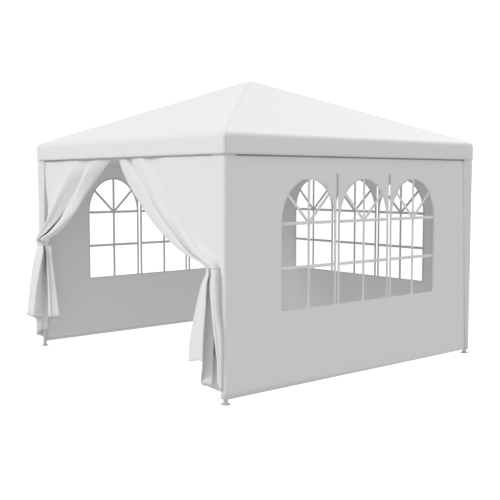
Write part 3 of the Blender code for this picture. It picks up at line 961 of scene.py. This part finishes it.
# %% [markdown]
# ## Corner strips
# A strip of cloth wraps each leg and tapers from a hand's width under the eave to a few centimetres at
# the foot. The front right one is part of the right wall; the other three are sheets of their own. They
# run up behind the valance, while walls and curtains end just under it on their straps, which leaves the
# thin dark line that shows below the valance.

# %% Wrap three corner strips
STRIP_LIFT = 0.0009
STRIP_BULGES = {1: 0.018, 2: 0.010, 3: 0.018}
STRIP_COLUMNS = 32
STRIP_ROWS = 60
STRIP_ROLL = 0.0025
ROLL_WIDE = 0.06
STRIP_FLUTTER = 0.0006


def strip_point(side, across, height):
    """A point of a corner strip, from its edge on one wall (0) round the corner to the other (1)."""
    half = WALL_STRAIGHT + BEND_LENGTH / 2 - strip_edge(height)
    along = WALL_STRAIGHT + BEND_LENGTH / 2 + (across * 2 - 1) * half
    bulge = STRIP_BULGES[side] * math.cos((across - 0.5) * math.pi) ** 2
    roll = -STRIP_ROLL * max(0.0, abs(across * 2 - 1) - (1 - ROLL_WIDE)) / ROLL_WIDE
    flutter = STRIP_FLUTTER * math.sin(height * 7.0 + across * 3.0)
    return wall_point(side, along, height, STRIP_LIFT + bulge + roll + flutter)


RETURN_COLUMNS = 12
FLARE = Vector((-0.010, -0.047, 0.0))
LOOSE_HEM = (0.040, 0.118, 0.160, 0.180)
STRIP_CUT = (0.26, STRIP_TOP - WALL_FOOT)
LOOSE_CUT = (0.34, 1.94)


def loose_strip_point(across, down):
    """The front left strip: its free edge turns back round the leg, and its foot stands off and is
    cut at a slant. LOOSE_HEM is the hem's height at the wall, the corner, the edge and its end."""
    columns = STRIP_COLUMNS + RETURN_COLUMNS
    on_strip = min(1.0, across * columns / STRIP_COLUMNS)
    turned = max(0.0, across * columns - STRIP_COLUMNS) / RETURN_COLUMNS
    hem = float(np.interp(2 * on_strip + turned, range(4), LOOSE_HEM))
    height = STRIP_TOP + (hem - STRIP_TOP) * down
    flare = 1 - ease(0.28, 0.50, height)
    step_back = 0.030 * min(1.0, turned / 0.12) + (0.014 + 0.010 * flare) * turned
    inward = (0.050 - 0.008 * flare) * turned
    aside = Vector((inward, step_back, 0.0)) * (1 - ease(1.86, 1.92, height))
    stands_off = flare * ease(0.28, 0.50, on_strip) * (1 - 0.4 * ease(0.5, 1.0, on_strip))
    return strip_point(3, on_strip, height) + aside + FLARE * stands_off


for side, where in STRIP_SIDES:
    def lay_strip(across, down, side=side):
        return strip_point(side, across, STRIP_TOP + (WALL_FOOT - STRIP_TOP) * down)

    if where == "front_left":
        shape = cloth_grid(
            STRIP_COLUMNS + RETURN_COLUMNS, STRIP_ROWS, loose_strip_point, LOOSE_CUT
        )
    else:
        shape = cloth_grid(STRIP_COLUMNS, STRIP_ROWS, lay_strip, STRIP_CUT)
    bmesh.ops.recalc_face_normals(shape, faces=shape.faces)
    finish_piece(
        f"corner_strip_{where}",
        shape,
        wall_cloth,
        [f"leg_sleeve_{where}"],
        thick=CLOTH_THICK,
    )


# %% [markdown]
# ## Door curtains
# Two curtains hang from the front rail and are pulled aside to the front legs. A pulled curtain is a fan
# of folds that run together in the tie and open again below it. Each fold line is one thread of the
# cloth: a ridge, a valley or an edge, followed from the rail through the tie down to the hem. Its points
# were picked and moved until the render agreed with the photograph: at each of a few rows of the
# 500-pixel picture, the column where the fold shows, and how far out from the peak it hangs, in metres. A
# camera turns that into a place: an earlier fit of the camera above, a few hundredths of a pixel off,
# because the picks were made through it. The sheet is a grid whose columns run along those lines, with a
# smooth curve through them across each row.

# %% Helpers for draping
def through(points, count):
    """count + 1 points on a smooth curve through the given ones, evenly shared between them."""
    knots = np.asarray(points, float)
    before, after = 2 * knots[:1] - knots[1:2], 2 * knots[-1:] - knots[-2:-1]
    padded = np.concatenate([before, knots, after])
    at = np.linspace(0, len(knots) - 1, count + 1)
    first = np.minimum(at.astype(int), len(knots) - 2)
    t = (at - first).reshape((-1,) + (1,) * (knots.ndim - 1))
    a, b, c, d = (padded[first + step] for step in range(4))
    return 0.5 * (
        2 * b + (c - a) * t + (2 * a - 5 * b + 4 * c - d) * t**2 + (3 * b - a - 3 * c + d) * t**3
    )


def drape(fold_lines, columns, rows):
    """The whole sheet as a net of points: rows down, columns across."""
    down_each = np.stack([through(line, rows) for line in fold_lines])
    return np.swapaxes(through(down_each, columns), 0, 1)


# %% From the picture to the cloth, in metres and radians
CURTAIN_HEAD = 1.847
MILLIMETRES = 3
PICK_PLACE = Vector((6.31782, -5.29993, 1.66912))
PICK_TURN = 0.872822
PICK_TILT = 0.083011
PICK_FOCAL = 843.169
view = Euler((math.pi / 2 - PICK_TILT, 0.0, PICK_TURN), "XYZ").to_matrix()


def seen_at(column, row, out):
    """The point seen at a column and row of the picture, out metres in front of the peak."""
    ray = view @ Vector((column - IMAGE_SIZE / 2, IMAGE_SIZE / 2 - row, -PICK_FOCAL))
    point = PICK_PLACE + ray * (-out - PICK_PLACE.y) / ray.y
    return tuple(round(value, MILLIMETRES) for value in point)


def head_at(column, out):
    """The point seen in a column at the height where the curtains' cloth begins."""
    across = view.col[0] + view.col[2] * (column - IMAGE_SIZE / 2) / PICK_FOCAL
    away = Vector((0.0, -out, CURTAIN_HEAD)) - PICK_PLACE
    x = PICK_PLACE.x - (across.y * away.y + across.z * away.z) / across.x
    return round(x, MILLIMETRES), -out, CURTAIN_HEAD


def fold_lines(picks, rows):
    """The fold lines in metres, from head to hem."""
    lines = {}
    for name, pick in picks.items():
        columns, outs = pick["columns"], pick["outs"]
        places = zip(columns[1:], (*rows, pick["hem_row"]), outs[1:])
        lines[name] = [head_at(columns[0], outs[0]), *(seen_at(*place) for place in places)]
    return lines


# %% Fold lines of the left curtain
LEFT_ROWS = (172, 184, 196, 208, 220, 232, 239, 244, 250, 262, 285)
LEFT_PICKS = {
    "outer edge": {
        "columns": (45, 45.2, 45.8, 46.8, 48.2, 46.8, 42, 40.5, 40.5, 40.5, 39.5, 38.5, 38.5),
        "outs": (1.486, 1.487, 1.488, 1.489, 1.493, 1.508, 1.522, 1.527, 1.52, 1.525, 1.53, 1.535, 1.535),
        "hem_row": 319.5,
    },
    "flat": {
        "columns": (58, 58, 56, 53, 51, 46.6, 39.3, 36, 37, 36.3, 33.2, 30.2, 27.2),
        "outs": (1.484, 1.492, 1.496, 1.502, 1.512, 1.532, 1.546, 1.562, 1.535, 1.552, 1.568, 1.586, 1.605),
        "hem_row": 314.8,
    },
    "first crest": {
        "columns": (72, 68.5, 63, 57.5, 52.6, 47.4, 39.8, 36.6, 38.4, 38.6, 37, 33.4, 30.2),
        "outs": (1.494, 1.508, 1.516, 1.53, 1.545, 1.556, 1.563, 1.569, 1.536, 1.556, 1.577, 1.598, 1.613),
        "hem_row": 316.2,
    },
    "slope": {
        "columns": (80, 76, 70, 63.5, 57.5, 51.5, 43, 37.6, 40.5, 41.8, 39.6, 35.8, 32.4),
        "outs": (1.484, 1.492, 1.49, 1.5, 1.516, 1.529, 1.546, 1.566, 1.535, 1.556, 1.582, 1.606, 1.621),
        "hem_row": 316.9,
    },
    "lip": {
        "columns": (85, 81, 76, 70.5, 63.8, 57, 46.3, 38.8, 42, 43.3, 41.7, 38, 34.8),
        "outs": (1.474, 1.476, 1.463, 1.464, 1.48, 1.5, 1.534, 1.56, 1.532, 1.552, 1.575, 1.598, 1.612),
        "hem_row": 317,
    },
    "crease": {
        "columns": (88.5, 84, 79, 73.2, 66.8, 58.6, 47.9, 39.8, 44, 44.8, 46, 47, 47.4),
        "outs": (1.474, 1.466, 1.452, 1.452, 1.466, 1.462, 1.462, 1.535, 1.508, 1.492, 1.475, 1.464, 1.458),
        "hem_row": 317.2,
    },
    "rim": {
        "columns": (96.5, 87.5, 81.4, 75.4, 68.8, 61.2, 50.6, 41.2, 46, 46, 46.8, 48, 48.6),
        "outs": (1.488, 1.48, 1.464, 1.466, 1.49, 1.522, 1.553, 1.562, 1.508, 1.515, 1.526, 1.54, 1.548),
        "hem_row": 317,
    },
    "under": {
        "columns": (110.2, 101.2, 92.6, 84.4, 77.5, 68.8, 58.2, 48, 48.4, 48.5, 49.4, 51.4, 53.2),
        "outs": (1.47, 1.44, 1.424, 1.43, 1.456, 1.489, 1.514, 1.538, 1.49, 1.498, 1.505, 1.516, 1.522),
        "hem_row": 317,
    },
    "roll edge": {
        "columns": (110.8, 101.9, 93.4, 85.3, 78.5, 69.9, 59.4, 49.6, 49.2, 49.4, 50.6, 53.2, 55.8),
        "outs": (1.46, 1.402, 1.374, 1.378, 1.404, 1.438, 1.462, 1.5, 1.476, 1.49, 1.495, 1.503, 1.505),
        "hem_row": 317,
    },
    "hem crest": {
        "columns": (111, 101.8, 92.8, 84.6, 77.6, 69, 58.6, 50.8, 51.6, 51.6, 52.8, 56, 60.4),
        "outs": (1.445, 1.37, 1.31, 1.3, 1.315, 1.33, 1.372, 1.43, 1.45, 1.472, 1.474, 1.474, 1.47),
        "hem_row": 317,
    },
    "turn back": {
        "columns": (106, 98, 89.5, 81.6, 74.6, 66.4, 57, 49.8, 50.4, 51, 51.8, 53, 60),
        "outs": (1.448, 1.365, 1.285, 1.26, 1.27, 1.3, 1.365, 1.425, 1.426, 1.425, 1.425, 1.425, 1.4),
        "hem_row": 320.6,
    },
    "door edge": {
        "columns": (101, 92, 84.5, 77, 70, 62.8, 55.6, 49, 48.8, 49.8, 50.2, 50.8, 50.5),
        "outs": (1.452, 1.37, 1.265, 1.235, 1.25, 1.3, 1.375, 1.43, 1.442, 1.438, 1.436, 1.436, 1.436),
        "hem_row": 322.8,
    },
}
left_folds = fold_lines(LEFT_PICKS, LEFT_ROWS)

# %% Fold lines of the right curtain
RIGHT_ROWS = (172, 188, 204, 220, 236, 252, 268, 286, 312, 340)
RIGHT_PICKS = {
    "outer edge": {
        "columns": (211.6, 211.8, 212.2, 212.6, 213.4, 214.6, 216.6, 219.2, 219.85, 220.4, 222.8, 222.6),
        "outs": (*(1.4946,) * 7, 1.4954, 1.4964, 1.4966, 1.4966, 1.4966),
        "hem_row": 391.4,
    },
    "side flat": {
        "columns": (200, 200, 201, 202.5, 204.95, 208, 212.2, 218.5, 219.2, 219.8, 222.3, 222.2),
        "outs": (1.4955, 1.4964, 1.4966, 1.4966, 1.4966, 1.4976, 1.499, 1.5, 1.5, 1.5, 1.5, 1.498),
        "hem_row": 391.4,
    },
    "first roll": {
        "columns": (180, 181, 184, 187.5, 192, 197.5, 206, 216.2, 217.8, 218.6, 221, 221.6),
        "outs": (1.495, 1.499, 1.499, 1.499, 1.501, 1.506, 1.516, 1.523, 1.528, 1.526, 1.522, 1.508),
        "hem_row": 391.2,
    },
    "second roll": {
        "columns": (166, 168.5, 173, 178, 184, 191.5, 201.5, 213.2, 213.6, 215, 217.6, 221),
        "outs": (1.499, 1.503, 1.503, 1.503, 1.505, 1.512, 1.528, 1.541, 1.552, 1.547, 1.535, 1.513),
        "hem_row": 391,
    },
    "soft fold": {
        "columns": (157, 160.8, 166.5, 172, 179, 187, 197.6, 211.2, 210.6, 212.2, 215.3, 220.8),
        "outs": (1.484, 1.49, 1.492, 1.493, 1.495, 1.503, 1.521, 1.543, 1.551, 1.552, 1.546, 1.51),
        "hem_row": 391.2,
    },
    "roll edge": {
        "columns": (149, 156.3, 163, 168.7, 176, 184.4, 195.4, 210, 209.2, 211.5, 214.5, 220.6),
        "outs": (1.478, 1.486, 1.49, 1.491, 1.493, 1.502, 1.52, 1.536, 1.53, 1.524, 1.516, 1.498),
        "hem_row": 391.2,
    },
    "main crest": {
        "columns": (141, 148, 156.5, 163.5, 171, 180.6, 192.6, 209.2, 208.7, 210.8, 213.6, 219.3),
        "outs": (1.499, 1.508, 1.511, 1.513, 1.517, 1.525, 1.538, 1.54, 1.5, 1.475, 1.446, 1.426),
        "hem_row": 391.2,
    },
    "lip": {
        "columns": (136, 141.5, 150, 157.4, 167.4, 178.9, 191.6, 208.6, 207.6, 207.4, 206.8, 208.6),
        "outs": (1.494, 1.506, 1.515, 1.524, 1.533, 1.541, 1.549, 1.538, 1.508, 1.503, 1.486, 1.48),
        "hem_row": 386.8,
    },
    "crease": {
        "columns": (130.6, 138, 147, 155.3, 165.9, 177.9, 190.8, 208, 206.8, 205.6, 203.4, 201.5),
        "outs": (1.468, 1.488, 1.497, 1.501, 1.506, 1.514, 1.526, 1.534, 1.52, 1.51, 1.5, 1.514),
        "hem_row": 384,
    },
    "band": {
        "columns": (125.5, 131, 140.5, 150, 160, 172, 187.2, 207.2, 206.4, 205, 202.8, 202.2),
        "outs": (1.486, 1.5, 1.507, 1.514, 1.521, 1.53, 1.541, 1.55, 1.566, 1.57, 1.572, 1.574),
        "hem_row": 362.3,
    },
    "door edge": {
        "columns": (118.9, 122.9, 130.6, 140.6, 150.9, 164.2, 181.8, 205.2, 200.7, 194.8, 189.7, 188.4),
        "outs": (1.484, 1.494, 1.5, 1.506, 1.512, 1.52, 1.532, 1.548, 1.554, 1.555, 1.555, 1.555),
        "hem_row": 361.6,
    },
}

# %% A deep pleat behind the right curtain's crease
PLEAT_WIDTHS = (0.09, 0.09, 0.10, 0.10, 0.10, 0.09, 0.07, 0.035, 0.06, 0.08, 0.09, 0.09)
PLEAT_FULL = 0.07
PLEAT_DEPTH = 0.030
PLEAT_LIP = 0.008
PLEAT_OPEN = 0.012
PLEAT_SHUT = 0.004
PLEAT_SHUTS = 1.0


def pleat_lines(crease):
    """The pleat's two hidden folds. It stands open above the tie and lies nearly shut below it."""
    back, front = [], []
    for (x, y, z), width in zip(crease, PLEAT_WIDTHS):
        back.append((x + width, y + PLEAT_DEPTH * min(1.0, width / PLEAT_FULL), z))
        front.append((x - PLEAT_LIP, y + (PLEAT_OPEN if z > PLEAT_SHUTS else PLEAT_SHUT), z))
    return {"pleat back": back, "pleat front": front}


right_folds = {}
for name, line in fold_lines(RIGHT_PICKS, RIGHT_ROWS).items():
    right_folds[name] = line
    if name == "crease":
        right_folds.update(pleat_lines(line))
print("fold lines:", len(left_folds), "and", len(right_folds))


# %% Drape the curtains
CURTAIN_CUT = (1.40, 2.30)
COLUMNS_A_FOLD = 12
ROWS_A_CURTAIN = 132
EDGE_TUCK = 0.0022
HEM_THICK = 0.0022
HEM_ROWS = 2
HEM_COLUMNS = 2
GATHER = 0.0010
TIE_GATHER = 0.0030
TIE_DOWN = 0.64
TIE_SPREAD = 0.16
ON_STRIP = (1.15, 1.30)


def hang_curtain(hand, folds):
    """Lays a curtain over its fold lines, with fine gathers that grow towards the tie."""
    columns = COLUMNS_A_FOLD * (len(folds) - 1)
    net = drape(list(folds.values()), columns, ROWS_A_CURTAIN)
    along = np.gradient(net, axis=1)
    below = np.gradient(net, axis=0)
    normals = np.cross(along, below)
    normals /= np.maximum(np.linalg.norm(normals, axis=2, keepdims=True), 1e-9)

    def lay(across, down):
        row, column = round(down * ROWS_A_CURTAIN), round(across * columns)
        near_tie = math.exp(-(((down - TIE_DOWN) / TIE_SPREAD) ** 2))
        held = min(1.0, across * columns / COLUMNS_A_FOLD)
        where = Vector((across * 26.0, down * 3.5, 7.0 if hand == "left" else 3.0))
        depth = (GATHER + TIE_GATHER * near_tie) * noise.noise(where) * held
        point = Vector(net[row, column] + normals[row, column] * depth)
        if hand == "right":
            on_wall = 2 * WALL_STRAIGHT + BEND_LENGTH - point.x
            point.y -= ripple(-on_wall, point.z) * ease(*ON_STRIP, point.x)
            point.y += EDGE_TUCK * (1 - ease(0.0, 1.2, across * columns / COLUMNS_A_FOLD * 2))
        return point

    shape = cloth_grid(columns, ROWS_A_CURTAIN, lay, CURTAIN_CUT)
    piece = finish_piece(
        f"door_curtain_{hand}",
        shape,
        curtain_cloth,
        [f"curtain_{hand}"],
        thick=HEM_THICK,
        offset=0.0,
    )
    hem = piece.vertex_groups.new(name="hem")
    for vert in piece.data.vertices:
        row, column = divmod(vert.index, columns + 1)
        in_hem = row <= HEM_ROWS or column >= columns - HEM_COLUMNS
        hem.add([vert.index], 1.0 if in_hem else CLOTH_THICK / HEM_THICK, "REPLACE")
    piece.modifiers["thickness"].vertex_group = "hem"
    return piece, columns


curtains = {}
curtain_columns = {}
for hand, folds in (("left", left_folds), ("right", right_folds)):
    curtains[hand], curtain_columns[hand] = hang_curtain(hand, folds)


# %% [markdown]
# ## Curtain ties
# A band of webbing holds each curtain to its leg. It is pulled tight, so it follows the outer hull of
# the gathered cloth: convex_hull finds that hull from the cloth's own points at the height of the tie,
# and the ring left after its two caps are taken off is the band.

# %% Tie the curtains
TIE_WIDE = 0.012
TIE_HEIGHTS = {"left": 1.033, "right": 1.020}
STRIP_FACE = -1.4965
TIE_THICK = 0.0012
for hand, height in TIE_HEIGHTS.items():
    ring = bmesh.new()
    for vert in curtains[hand].data.vertices:
        if abs(vert.co.z - height) < TIE_WIDE * 0.6:
            for edge in (-0.5, 0.5):
                place = (vert.co.x, min(vert.co.y, STRIP_FACE if hand == "right" else 0.0))
                bmesh.ops.create_vert(ring, co=(*place, height + edge * TIE_WIDE))
    hull = bmesh.ops.convex_hull(ring, input=ring.verts)
    inside = {part for part in hull["geom_interior"] if isinstance(part, bmesh.types.BMVert)}
    caps = [face for face in ring.faces if abs(face.normal.z) > 0.5]
    bmesh.ops.delete(ring, geom=caps, context="FACES_KEEP_BOUNDARY")
    bmesh.ops.delete(
        ring, geom=[vert for vert in ring.verts if not vert.link_faces or vert in inside], context="VERTS"
    )
    bmesh.ops.recalc_face_normals(ring, faces=ring.faces)
    middle = sum((vert.co for vert in ring.verts), Vector()) / len(ring.verts)
    flat = ring.loops.layers.uv.new("cloth")
    for face in ring.faces:
        for loop in face.loops:
            from_middle = loop.vert.co - middle
            turn = math.atan2(from_middle.y, from_middle.x)
            loop[flat].uv = (from_middle.z, turn * from_middle.xy.length)
    length = sum(face.calc_area() for face in ring.faces) / TIE_WIDE
    finish_piece(
        f"curtain_tie_{hand}", ring, webbing, [f"tie_{hand}"], TIE_THICK, 1.0
    )


# %% [markdown]
# ## Paths on the walls
# Hems, bindings and seams all follow a line on a wall: the outline of a window, a slit or the sheet. Two
# helpers keep those lines: one puts extra points on a path, so that it can follow the ripples, and one
# shifts it sideways with clean corners.

# %% Helpers for paths
def dense(path, closed, step=0.05):
    """The path with no two points further apart than step."""
    ends = path[1:] + path[:1] if closed else path[1:]
    points = []
    for (x1, z1), (x2, z2) in zip(path, ends):
        parts = max(1, math.ceil(math.hypot(x2 - x1, z2 - z1) / step))
        points += [
            (x1 + (x2 - x1) * part / parts, z1 + (z2 - z1) * part / parts) for part in range(parts)
        ]
    return points + [path[0] if closed else path[-1]]


def beside(path, distance, closed):
    """The path shifted to its right by distance, with mitred corners."""
    points = np.asarray(path[:-1] if closed else path, float)
    after, before = np.roll(points, -1, axis=0) - points, points - np.roll(points, 1, axis=0)
    if not closed:
        after[-1], before[0] = before[-1], after[0]
    rights = []
    for way in (after, before):
        unit = way / np.linalg.norm(way, axis=1, keepdims=True)
        rights.append(np.stack([unit[:, 1], -unit[:, 0]], axis=1))
    share = 1 + (rights[0] * rights[1]).sum(axis=1, keepdims=True)
    shifted = points + distance * (rights[0] + rights[1]) / share
    moved = [tuple(point) for point in shifted]
    return moved + moved[:1] if closed else moved


def ribbon(side, path, half, lift):
    """A narrow band on a wall, half metres to either side of the path."""
    closed = math.dist(path[0], path[-1]) < 1e-6
    edges = [beside(path, aside, closed) for aside in (-half, 0.0, half)]

    def lay(across, down):
        along, height = edges[round(down * 2)][round(across * (len(path) - 1))]
        return wall_point(side, along, height, lift + ripple(along, height))

    length = sum(math.dist(a, b) for a, b in zip(path, path[1:]))
    band = cloth_grid(len(path) - 1, 2, lay, (length, 2 * half))
    if closed:
        bmesh.ops.remove_doubles(band, verts=band.verts, dist=WELD)
    return band


# %% [markdown]
# ## Bindings and hems of the walls
# Each opening is edged on the inside with a 10 mm band that holds the film, and the sheet's foot and sides
# are turned in and sewn, which makes them stiffer and a little thicker. All of that is narrow ribbons.

# %% Sew on the bindings and hems
BINDING_HALF = 0.0048
BINDING_MIDDLE = 0.0052
FOOT_HEM = 0.025
SIDE_HEM = 0.018
HEM_INSIDE = -0.0012
SIDE_HEM_INSIDE = -0.0018
TRIM_THICK = 0.0005
HEM_SHORT = 0.002


def hem_paths(wraps_front):
    """The middle lines of a wall's hems: its foot, and the slanted sides that are cut edges."""
    right, left = side_edge(1), side_edge(-1)
    if wraps_front:
        left = [(-WALL_STRAIGHT, height) for height in heights_up]
    foot_middle = WALL_FOOT + FOOT_HEM / 2
    foot = [(left[0][0] + HEM_SHORT, foot_middle), (right[0][0] - HEM_SHORT, foot_middle)]
    sides = [beside(right, -SIDE_HEM / 2, False)]
    if not wraps_front:
        sides.append(beside(left, SIDE_HEM / 2, False))
    return foot, sides


BINDING_PATHS = [beside(dense(opening, True), BINDING_MIDDLE, True) for opening in OPENINGS]
for side, where in WALL_SIDES:
    bands = [ribbon(side, path, BINDING_HALF, HEM_INSIDE) for path in BINDING_PATHS]
    foot, sides = hem_paths(side == 1)
    bands.append(ribbon(side, dense(foot, False), FOOT_HEM / 2, HEM_INSIDE))
    bands += [ribbon(side, path, SIDE_HEM / 2, SIDE_HEM_INSIDE) for path in sides]
    shape = join_sheets(bands)
    bmesh.ops.recalc_face_normals(shape, faces=shape.faces)
    finish_piece(
        f"wall_trim_{where}", shape, wall_cloth, thick=TRIM_THICK, offset=0.0
    )


# %% [markdown]
# ## Hanging straps
# The walls and curtains hang from the eave rails on loops of webbing. Each strap starts at the head of the
# sheet, runs up inside the header band, goes once round the tube and ends where it is sewn to itself.
# Over the doorway only the part behind the shorter band is made, so no strap shows below it.

# %% Loop the straps over the rails
STRAP_HALF = 0.0125
STRAP_THICK = 0.0010
STRAP_PATH = (
    (1.4835, 1.812), (1.4740, 1.850), (1.4630, 1.895), (1.4510, 1.940), (1.4445, 1.975),
    (1.4470, 2.000), (1.4545, 2.0175), (1.4735, 2.0265), (1.4890, 2.0200), (1.4930, 2.007),
    (1.4890, 1.9940), (1.4735, 1.9870), (1.4580, 1.9830), (1.4490, 1.9720),
)
FRONT_STRAP_PATH = STRAP_PATH[2:]
DOOR_STRAPS = (-1.30, -0.98, -0.62, -0.26, 0.14, 0.50, 0.84, 1.25)
WALL_STRAPS = (-1.28, -0.96, -0.32, 0.32, 0.96, 1.28)
strap_length = sum(math.dist(a, b) for a, b in zip(STRAP_PATH, STRAP_PATH[1:]))
for side, where in ((0, "front"), *WALL_SIDES):
    loops = []
    path = STRAP_PATH if side else FRONT_STRAP_PATH
    places = WALL_STRAPS if side else DOOR_STRAPS
    for place in places:
        def lay_strap(across, down, side=side, place=place, path=path):
            out, height = path[round(down * (len(path) - 1))]
            local = Vector((place + (2 * across - 1) * STRAP_HALF, -out, height))
            return Matrix.Rotation(math.pi / 2 * side, 3, "Z") @ local

        loops.append(cloth_grid(2, len(path) - 1, lay_strap, (2 * STRAP_HALF, strap_length)))
    shape = join_sheets(loops)
    bmesh.ops.recalc_face_normals(shape, faces=shape.faces)
    finish_piece(
        f"hanging_straps_{where}", shape, webbing, thick=STRAP_THICK, offset=0.0
    )


# %% [markdown]
# ## Stitches
# A line of stitches is thousands of the same small bar, 6 mm long every 9 mm. One bar is made with bmesh
# and then copied with numpy: each copy is stretched from where its thread comes up to where it goes down.
# All stitches on one sheet are one mesh, and each bar has only six faces, because there are so many.

# %% Helpers for stitches
STITCH_PITCH = 0.009
STITCH_LONG = 0.006
STITCH_WIDE = 0.0011
STITCH_HIGH = 0.0005
STITCH_LIFT = 0.0001
UP_CHECK = 0.01

bar = bmesh.new()
bmesh.ops.create_cube(bar, size=1.0)
for vert in bar.verts:
    on_top = vert.co.z > 0
    vert.co = (vert.co.x * (0.7 if on_top else 1.0) + 0.5, vert.co.y, vert.co.z + 0.5)
BAR_POINTS = np.array([vert.co for vert in bar.verts])
BAR_FACES = np.array([[vert.index for vert in face.verts] for face in bar.faces])
bar.free()


def stitch_line(points, ups):
    """Starts, ends and up directions of the stitches along a line of 3-D points."""
    points, ups = np.asarray(points, float), np.asarray(ups, float)
    steps = np.linalg.norm(np.diff(points, axis=0), axis=1)
    run = np.concatenate([[0.0], np.cumsum(steps)])
    starts = np.arange(STITCH_PITCH / 2, run[-1] - STITCH_LONG, STITCH_PITCH)

    def at(places, values):
        return np.stack([np.interp(places, run, values[:, axis]) for axis in range(3)], axis=1)

    return at(starts, points), at(starts + STITCH_LONG, points), at(starts, ups)


def sew(name, lines, sunk=0.0):
    """One mesh of all the stitches in lines. sunk is how much of a bar's height lies in the cloth."""
    starts, ends, ups = (np.concatenate(part) for part in zip(*lines))
    along = ends - starts
    ups = ups / np.linalg.norm(ups, axis=1, keepdims=True)
    aside = np.cross(ups, along)
    aside *= STITCH_WIDE / np.linalg.norm(aside, axis=1, keepdims=True)
    high = STITCH_HIGH * (1 + 2 * sunk)
    points = (
        starts[:, None]
        + along[:, None] * BAR_POINTS[:, 0, None]
        + aside[:, None] * BAR_POINTS[:, 1, None]
        + ups[:, None] * (BAR_POINTS[:, 2, None] * high - STITCH_HIGH * sunk)
    )
    faces = BAR_FACES[None] + len(BAR_POINTS) * np.arange(len(starts))[:, None, None]
    mesh = bpy.data.meshes.new(name)
    mesh.from_pydata(points.reshape(-1, 3).tolist(), [], faces.reshape(-1, 4).tolist())
    shape = bmesh.new()
    shape.from_mesh(mesh)
    bpy.data.meshes.remove(mesh)
    return finish_piece(name, shape, thread)


# %% Sew the roof cover
SEAM_ROW = 0.0078
SEAM_STITCH = SEAM_LIFT + 0.0004
HEM_STITCH = 0.004
lines = []
for corner in range(4):
    for aside in (-SEAM_ROW, SEAM_ROW):
        downs = np.linspace(SEAM_START + 0.01, COVER_LENGTH - 0.01, 120)
        points = [hip_point(corner, aside, down, SEAM_STITCH) for down in downs]
        ups = [hip_point(corner, aside, down, SEAM_LIFT + UP_CHECK) for down in downs]
        lines.append(stitch_line(points, np.subtract(ups, points)))
hem_row = COVER_LENGTH - HEM_DEPTH + HEM_STITCH
rounds = [step / COLUMNS_A_SIDE for step in range(4 * COLUMNS_A_SIDE + 1)]
points = [cover_point(place % 4, hem_row, STITCH_LIFT) for place in rounds]
ups = [cover_point(place % 4, hem_row, UP_CHECK) for place in rounds]
lines.append(stitch_line(points, np.subtract(ups, points)))
roof_stitches = sew("roof_stitches", lines)


# %% Sew the walls
FOOT_STITCH = 0.003


def wall_line(side, path, lift=STITCH_LIFT):
    points = [wall_point(side, x, z, lift + ripple(x, z)) for x, z in path]
    ups = [wall_point(side, x, z, lift + ripple(x, z) + UP_CHECK) for x, z in path]
    return stitch_line(points, np.subtract(ups, points))


for side, where in WALL_SIDES:
    foot, sides = hem_paths(side == 1)
    foot_row = [(x, WALL_FOOT + FOOT_HEM - FOOT_STITCH) for x, z in foot]
    lines = [wall_line(side, path) for path in BINDING_PATHS]
    lines.append(wall_line(side, dense(foot_row, False)))
    lines += [wall_line(side, path) for path in sides]
    stitches = sew(f"wall_stitches_{where}", lines)


# %% Sew the corner strips
STRIP_SEAMS = (0.07, 0.93)
STITCHES_FROM = STRIP_TOP - 0.01
STITCHES_TO = 0.20
for side, where in STRIP_SIDES:
    lines = []
    for across in STRIP_SEAMS:
        heights = np.linspace(STITCHES_FROM, STITCHES_TO, STRIP_ROWS)
        if where == "front_left":
            share = across * STRIP_COLUMNS / (STRIP_COLUMNS + RETURN_COLUMNS)
            downs = (STRIP_TOP - heights) / (STRIP_TOP - WALL_FOOT)
            points = [loose_strip_point(share, down) for down in downs]
        else:
            points = [strip_point(side, across, height) for height in heights]
        flat_spot = WALL_STRAIGHT + (-0.1 if across < 0.5 else BEND_LENGTH + 0.1)
        out = wall_point(side, flat_spot, 1.0, UP_CHECK) - wall_point(side, flat_spot, 1.0)
        points = [point + out * 0.01 for point in points]
        lines.append(stitch_line(points, [out] * len(points)))
    stitches = sew(f"strip_stitches_{where}", lines)


# %% Sew the curtains' hems
HEM_SUNK = 3.5
for hand, curtain in curtains.items():
    columns = curtain_columns[hand]
    verts = curtain.data.vertices
    net = np.array([(*vert.co, *vert.normal) for vert in verts])
    net = net.reshape(ROWS_A_CURTAIN + 1, columns + 1, 2, 3)
    hem_column = columns - HEM_COLUMNS
    foot = net[HEM_ROWS, :hem_column].swapaxes(0, 1)
    edge = net[HEM_ROWS:, hem_column].swapaxes(0, 1)
    lines = [stitch_line(*foot), stitch_line(*edge)]
    stitches = sew(f"curtain_stitches_{hand}", lines, sunk=HEM_SUNK)
